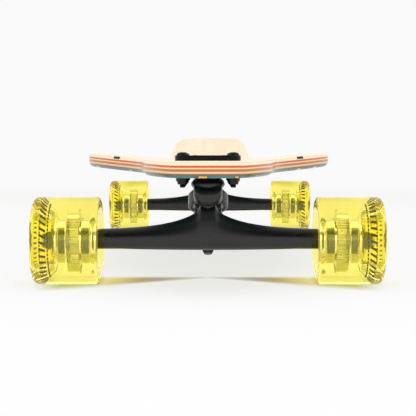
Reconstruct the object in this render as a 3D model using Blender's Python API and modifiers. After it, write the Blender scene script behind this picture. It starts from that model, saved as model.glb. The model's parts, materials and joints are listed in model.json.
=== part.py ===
"""A drop-through longboard as an assembly of separate pieces, in metres, +Z up.

The nose points along -Y and the tail along +Y. The origin is on the floor, under the middle of the
board. Each truck is drawn once in its own frame: X along the axle, +Y from the axle towards the middle
of the board, Z up from the axle's centre. The rear truck is the same one turned half a turn.
Left and right are those of a rider who faces the nose, so left is +X.
"""

import math

import bmesh
import bpy
from mathutils import Matrix, Vector

MM = 0.001
TURN = 2 * math.pi
REST_GAP = 0.3 * MM  # between pieces that touch on the real board

# Driving dimensions
BOARD_LENGTH = 1045 * MM
WHEELBASE = 790 * MM
FRONT_AXLE_Y = -425 * MM
WHEEL_RADIUS = 36 * MM
DECK_TOP = 101.7 * MM

# Deck
DECK_THICKNESS = 13 * MM
BODY_HALF_WIDTH = 117 * MM
# Half-widths of each end. Past its rounded corner it goes on widening, by flare for each mm.
NOSE = {"tip": 14 * MM, "full": 46 * MM, "corner_length": 75 * MM, "power": 1.6, "flare": 0.075}
TAIL = {"tip": 26 * MM, "full": 51 * MM, "corner_length": 40 * MM, "power": 2.2, "flare": 0.09}
SHOULDER_START = 74 * MM  # from an axle towards the middle
SHOULDER_END = 205 * MM
FLAT_HALF_WIDTH = 28 * MM  # the middle of the deck is flat across this strip
RAIL_RISE = 7.6 * MM
RAIL_POWER = 1.2
KICK_START_FROM_AXLE = 40 * MM
KICK_ANGLE = math.radians(20.5)
KICK_RADIUS = 120 * MM
TOP_EDGE = 2.5 * MM
BOTTOM_EDGE = 4 * MM

# Truck, in its own frame
PLATE_HALF_WIDTH = 26.5 * MM
PLATE_THICKNESS = 4.1 * MM
PLATE_FRONT = -31 * MM
PLATE_BACK = 61 * MM
PLATE_CORNER = 9 * MM
BOLT_HALF_SPACING = 20.65 * MM
BOLT_ROWS = (-12 * MM, 41.8 * MM)
THROAT_HALF_WIDTH = 14.5 * MM
THROAT_FRONT = -20.5 * MM
THROAT_BACK = 53 * MM
THROAT_BOTTOM = 44 * MM
SLOT_CLEARANCE = 1 * MM
SLOT_FRONT = -25.5 * MM
STEER_SLOPE = math.radians(36)  # the steering axis climbs outwards at this angle
KINGPIN_LEAN = math.radians(22)  # from upright, foot towards the axle
RING_CENTRE = Vector((0, 26 * MM, 14 * MM))
RING_RADIUS = 14.5 * MM
RING_HOLE_RADIUS = 7.5 * MM
RING_HALF_THICKNESS = 3.5 * MM
PIVOT_MOUTH_DISTANCE = 41.3 * MM  # from the ring's centre along the steering axis
HOUSING_RADIUS = 11.8 * MM
HOUSING_LENGTH = 12 * MM
CUP_RADIUS = 8.6 * MM
CUP_DEPTH = 9 * MM
CUP_WALL = 2.6 * MM
NECK_RADIUS = 6.35 * MM
NOSE_RADIUS = 5.7 * MM
NOSE_DEPTH = 6 * MM
HANGER_HALF_LENGTH = 90.5 * MM
ARM_TOP = 9.3 * MM
ARM_RISE = 20.5 * MM
ARM_FALLOFF = 25 * MM
ARM_CREST = 6 * MM
CREST_RISE = 6 * MM
CREST_FALLOFF = 1.6 * MM
ARM_BOTTOM = -6.2 * MM
ARM_BELLY = 1.6 * MM
ARM_HALF_DEPTH = 7.8 * MM
BOSS_RADIUS = 6.8 * MM
BOSS_END = 95.6 * MM
AXLE_RADIUS = 4 * MM
AXLE_HALF_LENGTH = 130 * MM
SEAT_RADIUS = 17 * MM
SEAT_SKIRT = 2.5 * MM
SEAT_TOP = 28 * MM  # along the kingpin, from the ring's centre
KINGPIN_RADIUS = 4.76 * MM
KINGPIN_TIP = -28 * MM
KINGPIN_HEAD_SEAT = 38 * MM
KINGPIN_HEAD_HEIGHT = 5.5 * MM
KINGPIN_HEAD_CORNER = 8.1 * MM
BUSHING_RADIUS = 12 * MM
BUSHING_WAIST = 10.8 * MM
BUSHING_BORE = 5.3 * MM
BOARD_BUSHING_HEIGHT = 9.5 * MM
ROAD_BUSHING_HEIGHT = 8 * MM
WASHER_RADIUS = 11.5 * MM
WASHER_THICKNESS = 1.3 * MM
BOARD_WASHER_SPACE = 1.8 * MM

# Fasteners
BOLT_RADIUS = 2.4 * MM
BOLT_HOLE_RADIUS = 2.75 * MM
BOLT_HEAD_RADIUS = 4.9 * MM
BOLT_HEAD_HEIGHT = 2.5 * MM
BOLT_TIP_BELOW_NUT = 2.5 * MM
MOUNT_NUT = {"corner": 5.35 * MM, "height": 6 * MM, "hole": 2.7 * MM}
KINGPIN_NUT = {"corner": 8.25 * MM, "height": 7.5 * MM, "hole": 5.06 * MM}
AXLE_NUT = {"corner": 7.5 * MM, "height": 6.5 * MM, "hole": 4.3 * MM}

# Wheels, measured along the axle from the board's centre plane
WHEEL_INNER_FACE = 88.3 * MM
WHEEL_OUTER_FACE = 143.2 * MM
BEARING_STARTS = (97 * MM, 114.5 * MM)
BEARING_WIDTH = 7 * MM
BEARING_RADIUS = 11 * MM
BEARING_CLEARANCE = 0.06 * MM
CORE_RADIUS = 19 * MM
CORE_START = 96.3 * MM
CORE_END = 122.2 * MM
CORE_BORE_RADIUS = 8.8 * MM
SEAT_FIT = 0.15 * MM
SPACER_RADIUS = 5 * MM
DISH_MOUTH_RADIUS = 30 * MM
RECESS_MOUTH_RADIUS = 26 * MM
AXLE_NUT_START = 123.1 * MM

LARGE_ROUND = 32
MEDIUM_ROUND = 20
SMALL_ROUND = 12


# Scene, materials and small tools


def clear_scene():
    for old in list(bpy.data.objects):
        bpy.data.objects.remove(old)


def make_collection(name):
    collection = bpy.data.collections.new(name)
    bpy.context.scene.collection.children.link(collection)
    return collection


def make_material(name, colour, roughness, metallic=0.0, transmission=0.0):
    material = bpy.data.materials.new(name)
    material.use_nodes = True
    shader = material.node_tree.nodes["Principled BSDF"]
    shader.inputs["Base Color"].default_value = (*colour, 1)
    shader.inputs["Roughness"].default_value = roughness
    shader.inputs["Metallic"].default_value = metallic
    shader.inputs["Transmission Weight"].default_value = transmission
    return material


def make_empty(name, collection, parent=None, location=(0, 0, 0), rotation=(0, 0, 0)):
    empty = bpy.data.objects.new(name, None)
    collection.objects.link(empty)
    empty.parent = parent
    empty.location = location
    empty.rotation_euler = rotation
    empty.empty_display_size = 0.02
    return empty


def temporary(name, mesh, location=(0, 0, 0), rotation=(0, 0, 0)):
    """An object that lives only while a piece's mesh is being made."""
    helper = bpy.data.objects.new(name, mesh)
    bpy.context.scene.collection.objects.link(helper)
    helper.location = location
    helper.rotation_euler = rotation
    return helper


def evaluated_mesh(helper):
    bpy.context.view_layer.update()
    graph = bpy.context.evaluated_depsgraph_get()
    mesh = bpy.data.meshes.new_from_object(helper.evaluated_get(graph), depsgraph=graph)
    mesh.transform(helper.matrix_world)
    bpy.data.objects.remove(helper)
    return mesh


def weld(mesh, distance=0.001 * MM):
    shape = bmesh.new()
    shape.from_mesh(mesh)
    bmesh.ops.remove_doubles(shape, verts=shape.verts, dist=distance)
    bmesh.ops.recalc_face_normals(shape, faces=shape.faces)
    shape.to_mesh(mesh)
    shape.free()
    return mesh


def turned(outline, segments, closed=False, location=(0, 0, 0), rotation=(0, 0, 0)):
    """A helper turned about Z from (radius, height) points that run down the outer side."""
    count = len(outline)
    edges = [(i, i + 1) for i in range(count - 1)]
    if closed:
        edges.append((count - 1, 0))
    mesh = bpy.data.meshes.new("turned")
    mesh.from_pydata([(radius, 0, height) for radius, height in outline], edges, [])
    helper = temporary("turned", mesh)
    screw = helper.modifiers.new("Screw", "SCREW")
    screw.steps = segments
    screw.render_steps = segments
    screw.angle = TURN
    screw.use_merge_vertices = True
    screw.merge_threshold = 0.00001
    return temporary("turned", evaluated_mesh(helper), location, rotation)


def cylinder(radius, bottom, top, segments, location=(0, 0, 0), rotation=(0, 0, 0)):
    outline = [(0, top), (radius, top), (radius, bottom), (0, bottom)]
    return turned(outline, segments, location=location, rotation=rotation)


def ring(outer, inner, bottom, top, segments):
    outline = [(outer, top), (outer, bottom), (inner, bottom), (inner, top)]
    return turned(outline, segments, closed=True)


def slab(outline, bottom, top, location=(0, 0, 0), rotation=(0, 0, 0)):
    """A helper of even thickness, from a flat outline of (x, y) points."""
    curve = bpy.data.curves.new("slab", "CURVE")
    curve.dimensions = "2D"
    curve.fill_mode = "BOTH"
    curve.extrude = (top - bottom) / 2
    spline = curve.splines.new("POLY")
    spline.points.add(len(outline) - 1)
    for point, (x, y) in zip(spline.points, outline):
        point.co = (x, y, 0, 1)
    spline.use_cyclic_u = True
    flat = temporary("slab", curve, location=(0, 0, (top + bottom) / 2))
    return temporary("slab", weld(evaluated_mesh(flat)), location, rotation)


def combined(body, joins=(), cuts=()):
    """The mesh of a helper with others joined to it and then others cut from it."""
    for operation, others in (("UNION", joins), ("DIFFERENCE", cuts)):
        for other in others:
            boolean = body.modifiers.new(operation, "BOOLEAN")
            boolean.operation = operation
            boolean.object = other
    mesh = evaluated_mesh(body)
    for other in (*joins, *cuts):
        bpy.data.objects.remove(other)
    return mesh


def arc(centre, radius, start, end, steps):
    """Points along an arc, angles in radians, both ends included."""
    angles = [start + (end - start) * i / steps for i in range(steps + 1)]
    return [(centre[0] + radius * math.cos(a), centre[1] + radius * math.sin(a)) for a in angles]


def rounded_rectangle(x_low, x_high, y_low, y_high, radius, steps):
    corners = (
        (x_high - radius, y_high - radius),
        (x_low + radius, y_high - radius),
        (x_low + radius, y_low + radius),
        (x_high - radius, y_low + radius),
    )
    points = []
    for quarter, centre in enumerate(corners):
        points += arc(centre, radius, quarter * TURN / 4, (quarter + 1) * TURN / 4, steps)
    return points


def lofted(rings):
    """A closed mesh through rings of equally many points, with flat ends."""
    shape = bmesh.new()
    loops = [[shape.verts.new(point) for point in points] for points in rings]
    for first, second in zip(loops, loops[1:]):
        for i in range(len(first)):
            j = (i + 1) % len(first)
            shape.faces.new((first[i], first[j], second[j], second[i]))
    shape.faces.new(loops[0])
    shape.faces.new(loops[-1])
    bmesh.ops.recalc_face_normals(shape, faces=shape.faces)
    mesh = bpy.data.meshes.new("loft")
    shape.to_mesh(mesh)
    shape.free()
    return mesh


def smooth_step(value):
    value = min(max(value, 0), 1)
    return value * value * (3 - 2 * value)


def add_piece(name, mesh, material, collection, parent, location=(0, 0, 0), rotation=(0, 0, 0)):
    """One finished piece, placed under its parent."""
    piece = bpy.data.objects.new(name, mesh)
    collection.objects.link(piece)
    piece.parent = parent
    piece.location = location
    piece.rotation_euler = rotation
    mesh.materials.clear()
    mesh.materials.append(material)
    mesh.shade_smooth()
    mesh.set_sharp_from_angle(angle=math.radians(35))
    return piece


# The directions that a truck's pieces are drawn along

ALONG_STEER = (TURN / 4 - STEER_SLOPE, 0, 0)  # +Z turned to point up and outwards
ALONG_KINGPIN = (-KINGPIN_LEAN, 0, 0)  # +Z turned to point from the road to the deck
ALONG_AXLE = (0, TURN / 4, 0)  # +Z turned to +X
UPSIDE_DOWN = (TURN / 2, 0, 0)  # for nuts that tighten from below
STEER_AXIS = Vector((0, -math.cos(STEER_SLOPE), math.sin(STEER_SLOPE)))
KINGPIN_AXIS = Vector((0, math.sin(KINGPIN_LEAN), math.cos(KINGPIN_LEAN)))
PIVOT_MOUTH = RING_CENTRE + PIVOT_MOUTH_DISTANCE * STEER_AXIS

# Heights along the kingpin, from the ring's centre
BOARD_BUSHING_BOTTOM = RING_HALF_THICKNESS + REST_GAP
BOARD_BUSHING_TOP = BOARD_BUSHING_BOTTOM + BOARD_BUSHING_HEIGHT
SEAT_FACE = BOARD_BUSHING_TOP + BOARD_WASHER_SPACE
ROAD_BUSHING_TOP = -RING_HALF_THICKNESS - REST_GAP
ROAD_BUSHING_BOTTOM = ROAD_BUSHING_TOP - ROAD_BUSHING_HEIGHT
WASHER_TOP = ROAD_BUSHING_BOTTOM - REST_GAP
KINGPIN_NUT_TOP = WASHER_TOP - WASHER_THICKNESS - REST_GAP

# Heights in a truck's frame
DECK_TOP_HEIGHT = DECK_TOP - WHEEL_RADIUS
DECK_BOTTOM_HEIGHT = DECK_TOP_HEIGHT - DECK_THICKNESS
PLATE_BOTTOM_HEIGHT = DECK_TOP_HEIGHT + REST_GAP
PLATE_TOP_HEIGHT = PLATE_BOTTOM_HEIGHT + PLATE_THICKNESS
MOUNT_NUT_TOP = DECK_BOTTOM_HEIGHT - REST_GAP


# Deck


def kick_line(distance):
    """(along, rise, slope) of the deck's top at this distance past the start of the kick."""
    arc_length = KICK_RADIUS * KICK_ANGLE
    slope = min(distance, arc_length) / KICK_RADIUS if distance > 0 else 0
    straight = max(distance - arc_length, 0)
    along = KICK_RADIUS * math.sin(slope) + straight * math.cos(KICK_ANGLE)
    rise = KICK_RADIUS * (1 - math.cos(slope)) + straight * math.sin(KICK_ANGLE)
    return (along, rise, slope) if distance > 0 else (distance, 0, 0)


def rail_lift(x):
    """How far the concave raises the deck at this distance from its centre line."""
    beyond = max(abs(x) - FLAT_HALF_WIDTH, 0) / (BODY_HALF_WIDTH - FLAT_HALF_WIDTH)
    return RAIL_RISE * beyond**RAIL_POWER


def tip_half_width(from_tip, tip, full, corner_length, power, flare):
    share = min(from_tip / corner_length, 1)
    return tip + (full - tip) * (1 - (1 - share) ** power) ** (1 / power) + flare * from_tip


def deck_half_width(distance, length):
    """Half the deck's width at this distance from the nose, measured along its top."""
    front_axle = FRONT_AXLE_Y + BOARD_LENGTH / 2
    rear_axle = front_axle + WHEELBASE
    reach = SHOULDER_END - SHOULDER_START
    if distance < front_axle + SHOULDER_END:
        narrow = tip_half_width(distance, **NOSE)
        share = smooth_step((distance - front_axle - SHOULDER_START) / reach)
    else:
        narrow = tip_half_width(length - distance, **TAIL)
        share = smooth_step((rear_axle - SHOULDER_START - distance) / reach)
    return narrow + (BODY_HALF_WIDTH - narrow) * share


def deck_section(half_width, top_inset, bottom_inset):
    """(x, height) points round one cross-section, height 0 at the top of the centre line."""
    across = (-1, -0.8, -0.6, -0.44, -0.24, 0.24, 0.44, 0.6, 0.8, 1)
    top_reach = half_width - TOP_EDGE
    bottom_reach = half_width - BOTTOM_EDGE
    edge_lift = rail_lift(half_width)
    top = [(share * top_reach, rail_lift(share * top_reach) - top_inset) for share in across]
    bottom = [
        (share * bottom_reach, rail_lift(share * bottom_reach) - DECK_THICKNESS + bottom_inset)
        for share in reversed(across)
    ]
    upper_side = edge_lift - TOP_EDGE - top_inset
    lower_side = edge_lift - DECK_THICKNESS + BOTTOM_EDGE
    right = [(half_width, upper_side), (half_width, lower_side)]
    left = [(-half_width, lower_side), (-half_width, upper_side)]
    return top + right + bottom + left


def deck_stations(length, kick_start):
    """Distances from the nose, closer together where the outline or the line bends."""
    front_axle = FRONT_AXLE_Y + BOARD_LENGTH / 2
    rear_axle = front_axle + WHEELBASE
    corner_shares = [1 - math.cos(step * TURN / 24) for step in range(1, 7)]
    shoulder_steps = [SHOULDER_START + (SHOULDER_END - SHOULDER_START) * i / 7 for i in range(8)]
    stations = [0, *(NOSE["corner_length"] * share for share in corner_shares)]
    stations += [front_axle + step for step in shoulder_steps]
    stations += [rear_axle - step for step in reversed(shoulder_steps)]
    stations += [kick_start + KICK_RADIUS * KICK_ANGLE * i / 4 for i in range(5)]
    stations += [length - TAIL["corner_length"] * share for share in reversed(corner_shares)]
    return [*stations, length]


def make_deck_mesh():
    kick_start = WHEELBASE + FRONT_AXLE_Y + BOARD_LENGTH / 2 + KICK_START_FROM_AXLE
    lower_lip = (DECK_THICKNESS - BOTTOM_EDGE) * math.sin(KICK_ANGLE)  # it reaches past the top edge
    kick_run = BOARD_LENGTH - kick_start - lower_lip
    straight = (kick_run - KICK_RADIUS * math.sin(KICK_ANGLE)) / math.cos(KICK_ANGLE)
    length = kick_start + KICK_RADIUS * KICK_ANGLE + straight
    rings = []
    for distance in deck_stations(length, kick_start):
        at_tip = distance in (0, length)
        section = deck_section(
            deck_half_width(distance, length),
            TOP_EDGE if at_tip else 0,
            BOTTOM_EDGE if at_tip else 0,
        )
        along, rise, slope = kick_line(distance - kick_start)
        y = kick_start + along - BOARD_LENGTH / 2
        rings.append(
            [
                (x, y - height * math.sin(slope), DECK_TOP + rise + height * math.cos(slope))
                for x, height in section
            ]
        )
    cuts = []
    for axle_y, turned_round in ((FRONT_AXLE_Y, 1), (FRONT_AXLE_Y + WHEELBASE, -1)):
        low, high = DECK_TOP - 2 * DECK_THICKNESS, DECK_TOP + DECK_THICKNESS
        rotation = (0, 0, 0) if turned_round == 1 else (0, 0, TURN / 2)
        place = (0, axle_y, 0)
        slot = rounded_rectangle(
            -THROAT_HALF_WIDTH - SLOT_CLEARANCE,
            THROAT_HALF_WIDTH + SLOT_CLEARANCE,
            SLOT_FRONT,
            THROAT_BACK + SLOT_CLEARANCE,
            THROAT_HALF_WIDTH,
            5,
        )
        cuts.append(slab(slot, low, high, place, rotation))
        bulge = (0, axle_y + turned_round * seat_centre_y(), 0)
        cuts.append(cylinder(SEAT_RADIUS + SLOT_CLEARANCE / 2, low, high, MEDIUM_ROUND, bulge))
        for row in BOLT_ROWS:
            for side in (-1, 1):
                hole = (side * BOLT_HALF_SPACING, axle_y + turned_round * row, 0)
                cuts.append(cylinder(BOLT_HOLE_RADIUS, low, high, SMALL_ROUND, hole))
    return combined(temporary("deck", lofted(rings)), cuts=cuts)


# Truck castings


def seat_centre_y():
    """Where the middle of the kingpin seat stands, for the slot that it is passed through."""
    return (RING_CENTRE + (SEAT_FACE + SEAT_TOP) / 2 * KINGPIN_AXIS).y


def make_baseplate_mesh():
    plate = slab(
        rounded_rectangle(
            -PLATE_HALF_WIDTH, PLATE_HALF_WIDTH, PLATE_FRONT, PLATE_BACK, PLATE_CORNER, 4
        ),
        PLATE_BOTTOM_HEIGHT,
        PLATE_TOP_HEIGHT,
    )
    throat = slab(
        rounded_rectangle(
            -THROAT_HALF_WIDTH,
            THROAT_HALF_WIDTH,
            THROAT_FRONT,
            THROAT_BACK,
            THROAT_HALF_WIDTH - SLOT_CLEARANCE,
            5,
        ),
        THROAT_BOTTOM,
        PLATE_BOTTOM_HEIGHT + PLATE_THICKNESS / 2,
    )
    housing_end = HOUSING_LENGTH - 1.5 * MM
    housing = turned(
        [
            (0, HOUSING_LENGTH),
            (HOUSING_RADIUS - 1.5 * MM, HOUSING_LENGTH),
            (HOUSING_RADIUS, housing_end),
            (HOUSING_RADIUS, 0),
            (0, 0),
        ],
        MEDIUM_ROUND,
        location=PIVOT_MOUTH,
        rotation=ALONG_STEER,
    )
    seat = turned(
        [
            (0, SEAT_TOP),
            (SEAT_RADIUS - 4 * MM, SEAT_TOP),
            (SEAT_RADIUS, SEAT_TOP - 4 * MM),
            (SEAT_RADIUS, SEAT_FACE - SEAT_SKIRT),
            (SEAT_RADIUS - 2.5 * MM, SEAT_FACE - SEAT_SKIRT),
            (SEAT_RADIUS - 2.5 * MM, SEAT_FACE),
            (0, SEAT_FACE),
        ],
        24,
        location=RING_CENTRE,
        rotation=ALONG_KINGPIN,
    )
    web = slab(
        rounded_rectangle(-9 * MM, 9 * MM, -8 * MM, 44 * MM, 5 * MM, 2),
        THROAT_BOTTOM - 5 * MM,
        THROAT_BOTTOM + 2 * MM,
    )
    cup_hole = cylinder(
        CUP_RADIUS + REST_GAP,
        -20 * MM,
        CUP_DEPTH + REST_GAP,
        MEDIUM_ROUND,
        PIVOT_MOUTH,
        ALONG_STEER,
    )
    kingpin_hole = cylinder(
        KINGPIN_RADIUS + REST_GAP, 0, 60 * MM, SMALL_ROUND, RING_CENTRE, ALONG_KINGPIN
    )
    head_pocket = cylinder(
        KINGPIN_HEAD_CORNER + 2 * REST_GAP,
        KINGPIN_HEAD_SEAT,
        90 * MM,
        MEDIUM_ROUND,
        RING_CENTRE,
        ALONG_KINGPIN,
    )
    bolt_holes = [
        cylinder(
            BOLT_HOLE_RADIUS,
            DECK_TOP_HEIGHT - PLATE_THICKNESS,
            PLATE_TOP_HEIGHT + PLATE_THICKNESS,
            SMALL_ROUND,
            (side * BOLT_HALF_SPACING, row, 0),
        )
        for row in BOLT_ROWS
        for side in (-1, 1)
    ]
    return combined(
        plate,
        joins=[throat, housing, seat, web],
        cuts=[cup_hole, kingpin_hole, head_pocket, *bolt_holes],
    )


def arm_top(x):
    beyond = max(abs(x), ARM_CREST)
    crest = CREST_RISE * math.exp((ARM_CREST - beyond) / CREST_FALLOFF)
    return ARM_TOP + ARM_RISE * math.exp(-beyond / ARM_FALLOFF) + crest


def arm_bottom(x):
    return ARM_BOTTOM - ARM_BELLY * (1 - (x / HANGER_HALF_LENGTH) ** 2)


def hanger_section(x, points=14):
    """An oval standing on the axle line, taller towards the middle of the hanger."""
    low, high = arm_bottom(x), arm_top(x)
    middle, half_height = (low + high) / 2, (high - low) / 2
    loop = []
    for step in range(points):
        angle = step * TURN / points
        loop.append((x, ARM_HALF_DEPTH * math.cos(angle), middle + half_height * math.sin(angle)))
    return loop


def make_hanger_mesh():
    half = [0, ARM_CREST, 8 * MM, 11 * MM, 16 * MM, 24 * MM, 37 * MM, 55 * MM, HANGER_HALF_LENGTH]
    stations = [-x for x in reversed(half[1:])] + half
    arms = temporary("arms", lofted([hanger_section(x) for x in stations]))
    neck_start = RING_RADIUS - 2.5 * MM
    nose_end = PIVOT_MOUTH_DISTANCE + NOSE_DEPTH
    neck = turned(
        [
            (0, nose_end),
            (NOSE_RADIUS * 0.6, nose_end - 0.5 * MM),
            (NOSE_RADIUS, nose_end - 3 * MM),
            (NOSE_RADIUS, PIVOT_MOUTH_DISTANCE - 2 * MM),
            (NECK_RADIUS, PIVOT_MOUTH_DISTANCE - 4 * MM),
            (NECK_RADIUS, neck_start),
            (0, neck_start),
        ],
        MEDIUM_ROUND,
        location=RING_CENTRE,
        rotation=ALONG_STEER,
    )
    tie_reach = 23 * MM
    tie_half_width = 11 * MM
    ring_outline = [(tie_half_width, -tie_reach), *arc((0, 0), RING_RADIUS, 0, TURN / 2, 12)]
    ring_outline.append((-tie_half_width, -tie_reach))
    ring_plate = slab(
        ring_outline,
        -RING_HALF_THICKNESS,
        RING_HALF_THICKNESS,
        location=RING_CENTRE,
        rotation=ALONG_KINGPIN,
    )
    bosses = [
        cylinder(
            BOSS_RADIUS, 70 * MM, BOSS_END, MEDIUM_ROUND, rotation=(0, side * TURN / 4, 0)
        )
        for side in (-1, 1)
    ]
    axle_bore = cylinder(
        AXLE_RADIUS + REST_GAP / 2, -120 * MM, 120 * MM, MEDIUM_ROUND, rotation=ALONG_AXLE
    )
    ring_hole = cylinder(
        RING_HOLE_RADIUS, -10 * MM, 10 * MM, MEDIUM_ROUND, RING_CENTRE, ALONG_KINGPIN
    )
    bushing_room = cylinder(
        BUSHING_RADIUS + 1.6 * MM,
        RING_HALF_THICKNESS - 0.2 * MM,
        40 * MM,
        MEDIUM_ROUND,
        RING_CENTRE,
        ALONG_KINGPIN,
    )
    mesh = combined(
        arms,
        joins=[ring_plate, neck, *bosses],
        cuts=[axle_bore, ring_hole, bushing_room],
    )
    mesh.transform(Matrix.Translation(-RING_CENTRE))
    return mesh


# Steering pieces, drawn about the kingpin with height 0 at the ring's centre


def make_bushing_mesh(bottom, top):
    middle = (bottom + top) / 2
    outline = [
        (BUSHING_BORE, top),
        (BUSHING_WAIST, top),
        (BUSHING_RADIUS, middle),
        (BUSHING_WAIST, bottom),
        (BUSHING_BORE, bottom),
    ]
    return evaluated_mesh(turned(outline, MEDIUM_ROUND, closed=True))


def make_washer_mesh():
    rim = 0.6 * MM
    outline = [
        (KINGPIN_RADIUS + REST_GAP, WASHER_TOP),
        (WASHER_RADIUS, WASHER_TOP),
        (WASHER_RADIUS, WASHER_TOP - WASHER_THICKNESS + rim),
        (WASHER_RADIUS - rim, WASHER_TOP - WASHER_THICKNESS),
        (KINGPIN_RADIUS + REST_GAP, WASHER_TOP - WASHER_THICKNESS),
    ]
    return evaluated_mesh(turned(outline, MEDIUM_ROUND, closed=True))


def make_kingpin_mesh():
    chamfer = 1 * MM
    head_bottom = KINGPIN_HEAD_SEAT + REST_GAP
    shank = turned(
        [
            (0, head_bottom + chamfer),
            (KINGPIN_RADIUS, head_bottom + chamfer),
            (KINGPIN_RADIUS, KINGPIN_TIP + chamfer),
            (KINGPIN_RADIUS - chamfer, KINGPIN_TIP),
            (0, KINGPIN_TIP),
        ],
        SMALL_ROUND,
    )
    head = cylinder(
        KINGPIN_HEAD_CORNER, head_bottom, head_bottom + KINGPIN_HEAD_HEIGHT, 6
    )
    return combined(shank, joins=[head])


def make_nut_mesh(corner, height, hole, segments=SMALL_ROUND):
    """A hex nut with a round locking collar, standing from height 0 up to its own height."""
    hexagon = cylinder(corner, 0, height * 0.7, 6)
    collar = cylinder(corner * 0.8, height * 0.5, height, segments)
    bore = cylinder(hole, -height, 2 * height, segments)
    return combined(hexagon, joins=[collar], cuts=[bore])


def make_cup_mesh():
    inner = CUP_RADIUS - CUP_WALL
    floor = CUP_DEPTH - 2 * MM
    outline = [
        (0, CUP_DEPTH),
        (CUP_RADIUS, CUP_DEPTH),
        (CUP_RADIUS, -0.8 * MM),
        (inner, -0.8 * MM),
        (inner, floor),
        (0, floor),
    ]
    return evaluated_mesh(turned(outline, MEDIUM_ROUND))


# Fasteners, axle and wheel pieces


def make_bolt_mesh():
    """A pan-head bolt, height 0 under its head."""
    clamped = PLATE_TOP_HEIGHT + REST_GAP - MOUNT_NUT_TOP
    shank_length = clamped + MOUNT_NUT["height"] + BOLT_TIP_BELOW_NUT
    outline = [
        (0, BOLT_HEAD_HEIGHT),
        (BOLT_HEAD_RADIUS * 0.55, BOLT_HEAD_HEIGHT * 0.86),
        (BOLT_HEAD_RADIUS * 0.88, BOLT_HEAD_HEIGHT * 0.5),
        (BOLT_HEAD_RADIUS, 0),
        (BOLT_RADIUS, 0),
        (BOLT_RADIUS, -shank_length),
        (0, -shank_length),
    ]
    return evaluated_mesh(turned(outline, SMALL_ROUND))


def make_axle_mesh():
    chamfer = 0.8 * MM
    outline = [
        (0, AXLE_HALF_LENGTH),
        (AXLE_RADIUS - chamfer, AXLE_HALF_LENGTH),
        (AXLE_RADIUS, AXLE_HALF_LENGTH - chamfer),
        (AXLE_RADIUS, chamfer - AXLE_HALF_LENGTH),
        (AXLE_RADIUS - chamfer, -AXLE_HALF_LENGTH),
        (0, -AXLE_HALF_LENGTH),
    ]
    return evaluated_mesh(turned(outline, MEDIUM_ROUND))


def from_wheel_middle(distance):
    return distance - (WHEEL_INNER_FACE + WHEEL_OUTER_FACE) / 2


def rounded_lip(radius, face):
    """(radius, height) points from a flat face out to the tread, round a corner of this radius."""
    angles = [step * TURN / 12 for step in range(4)]
    inset = WHEEL_RADIUS - radius
    return [(inset + radius * math.sin(a), face - radius * (1 - math.cos(a))) for a in angles]


def make_tyre_mesh():
    half = (WHEEL_OUTER_FACE - WHEEL_INNER_FACE) / 2
    bore = CORE_RADIUS + REST_GAP
    outline = [(bore, from_wheel_middle(CORE_END) + 1 * MM), (bore + 1.5 * MM, half - 15 * MM)]
    outline += [(DISH_MOUTH_RADIUS - 3 * MM, half - 5 * MM), (DISH_MOUTH_RADIUS, half)]
    outline += rounded_lip(5 * MM, half)
    outline += [(radius, -height) for radius, height in reversed(rounded_lip(3 * MM, half))]
    outline += [(RECESS_MOUTH_RADIUS, -half), (bore, from_wheel_middle(CORE_START) - 1 * MM)]
    return evaluated_mesh(turned(outline, LARGE_ROUND, closed=True))


def make_core_mesh():
    seat = BEARING_RADIUS + SEAT_FIT
    inner_shoulder = from_wheel_middle(BEARING_STARTS[0] + BEARING_WIDTH + REST_GAP)
    outer_shoulder = from_wheel_middle(BEARING_STARTS[1] - REST_GAP)
    low, high = from_wheel_middle(CORE_START), from_wheel_middle(CORE_END)
    outline = [
        (seat, high),
        (CORE_RADIUS, high),
        (CORE_RADIUS, low),
        (seat, low),
        (seat, inner_shoulder),
        (CORE_BORE_RADIUS, inner_shoulder),
        (CORE_BORE_RADIUS, outer_shoulder),
        (seat, outer_shoulder),
    ]
    return evaluated_mesh(turned(outline, MEDIUM_ROUND, closed=True))


def make_bearing_mesh():
    """A shielded ball bearing's outer shape, its bore just clear of the axle's corners."""
    bore = (AXLE_RADIUS + BEARING_CLEARANCE) / math.cos(TURN / 2 / MEDIUM_ROUND)
    return evaluated_mesh(ring(BEARING_RADIUS, bore, 0, BEARING_WIDTH, MEDIUM_ROUND))


def make_spacer_mesh():
    length = BEARING_STARTS[1] - BEARING_STARTS[0] - BEARING_WIDTH - 2 * REST_GAP
    return evaluated_mesh(
        ring(SPACER_RADIUS, AXLE_RADIUS + REST_GAP, 0, length, SMALL_ROUND)
    )


# Assembly


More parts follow.
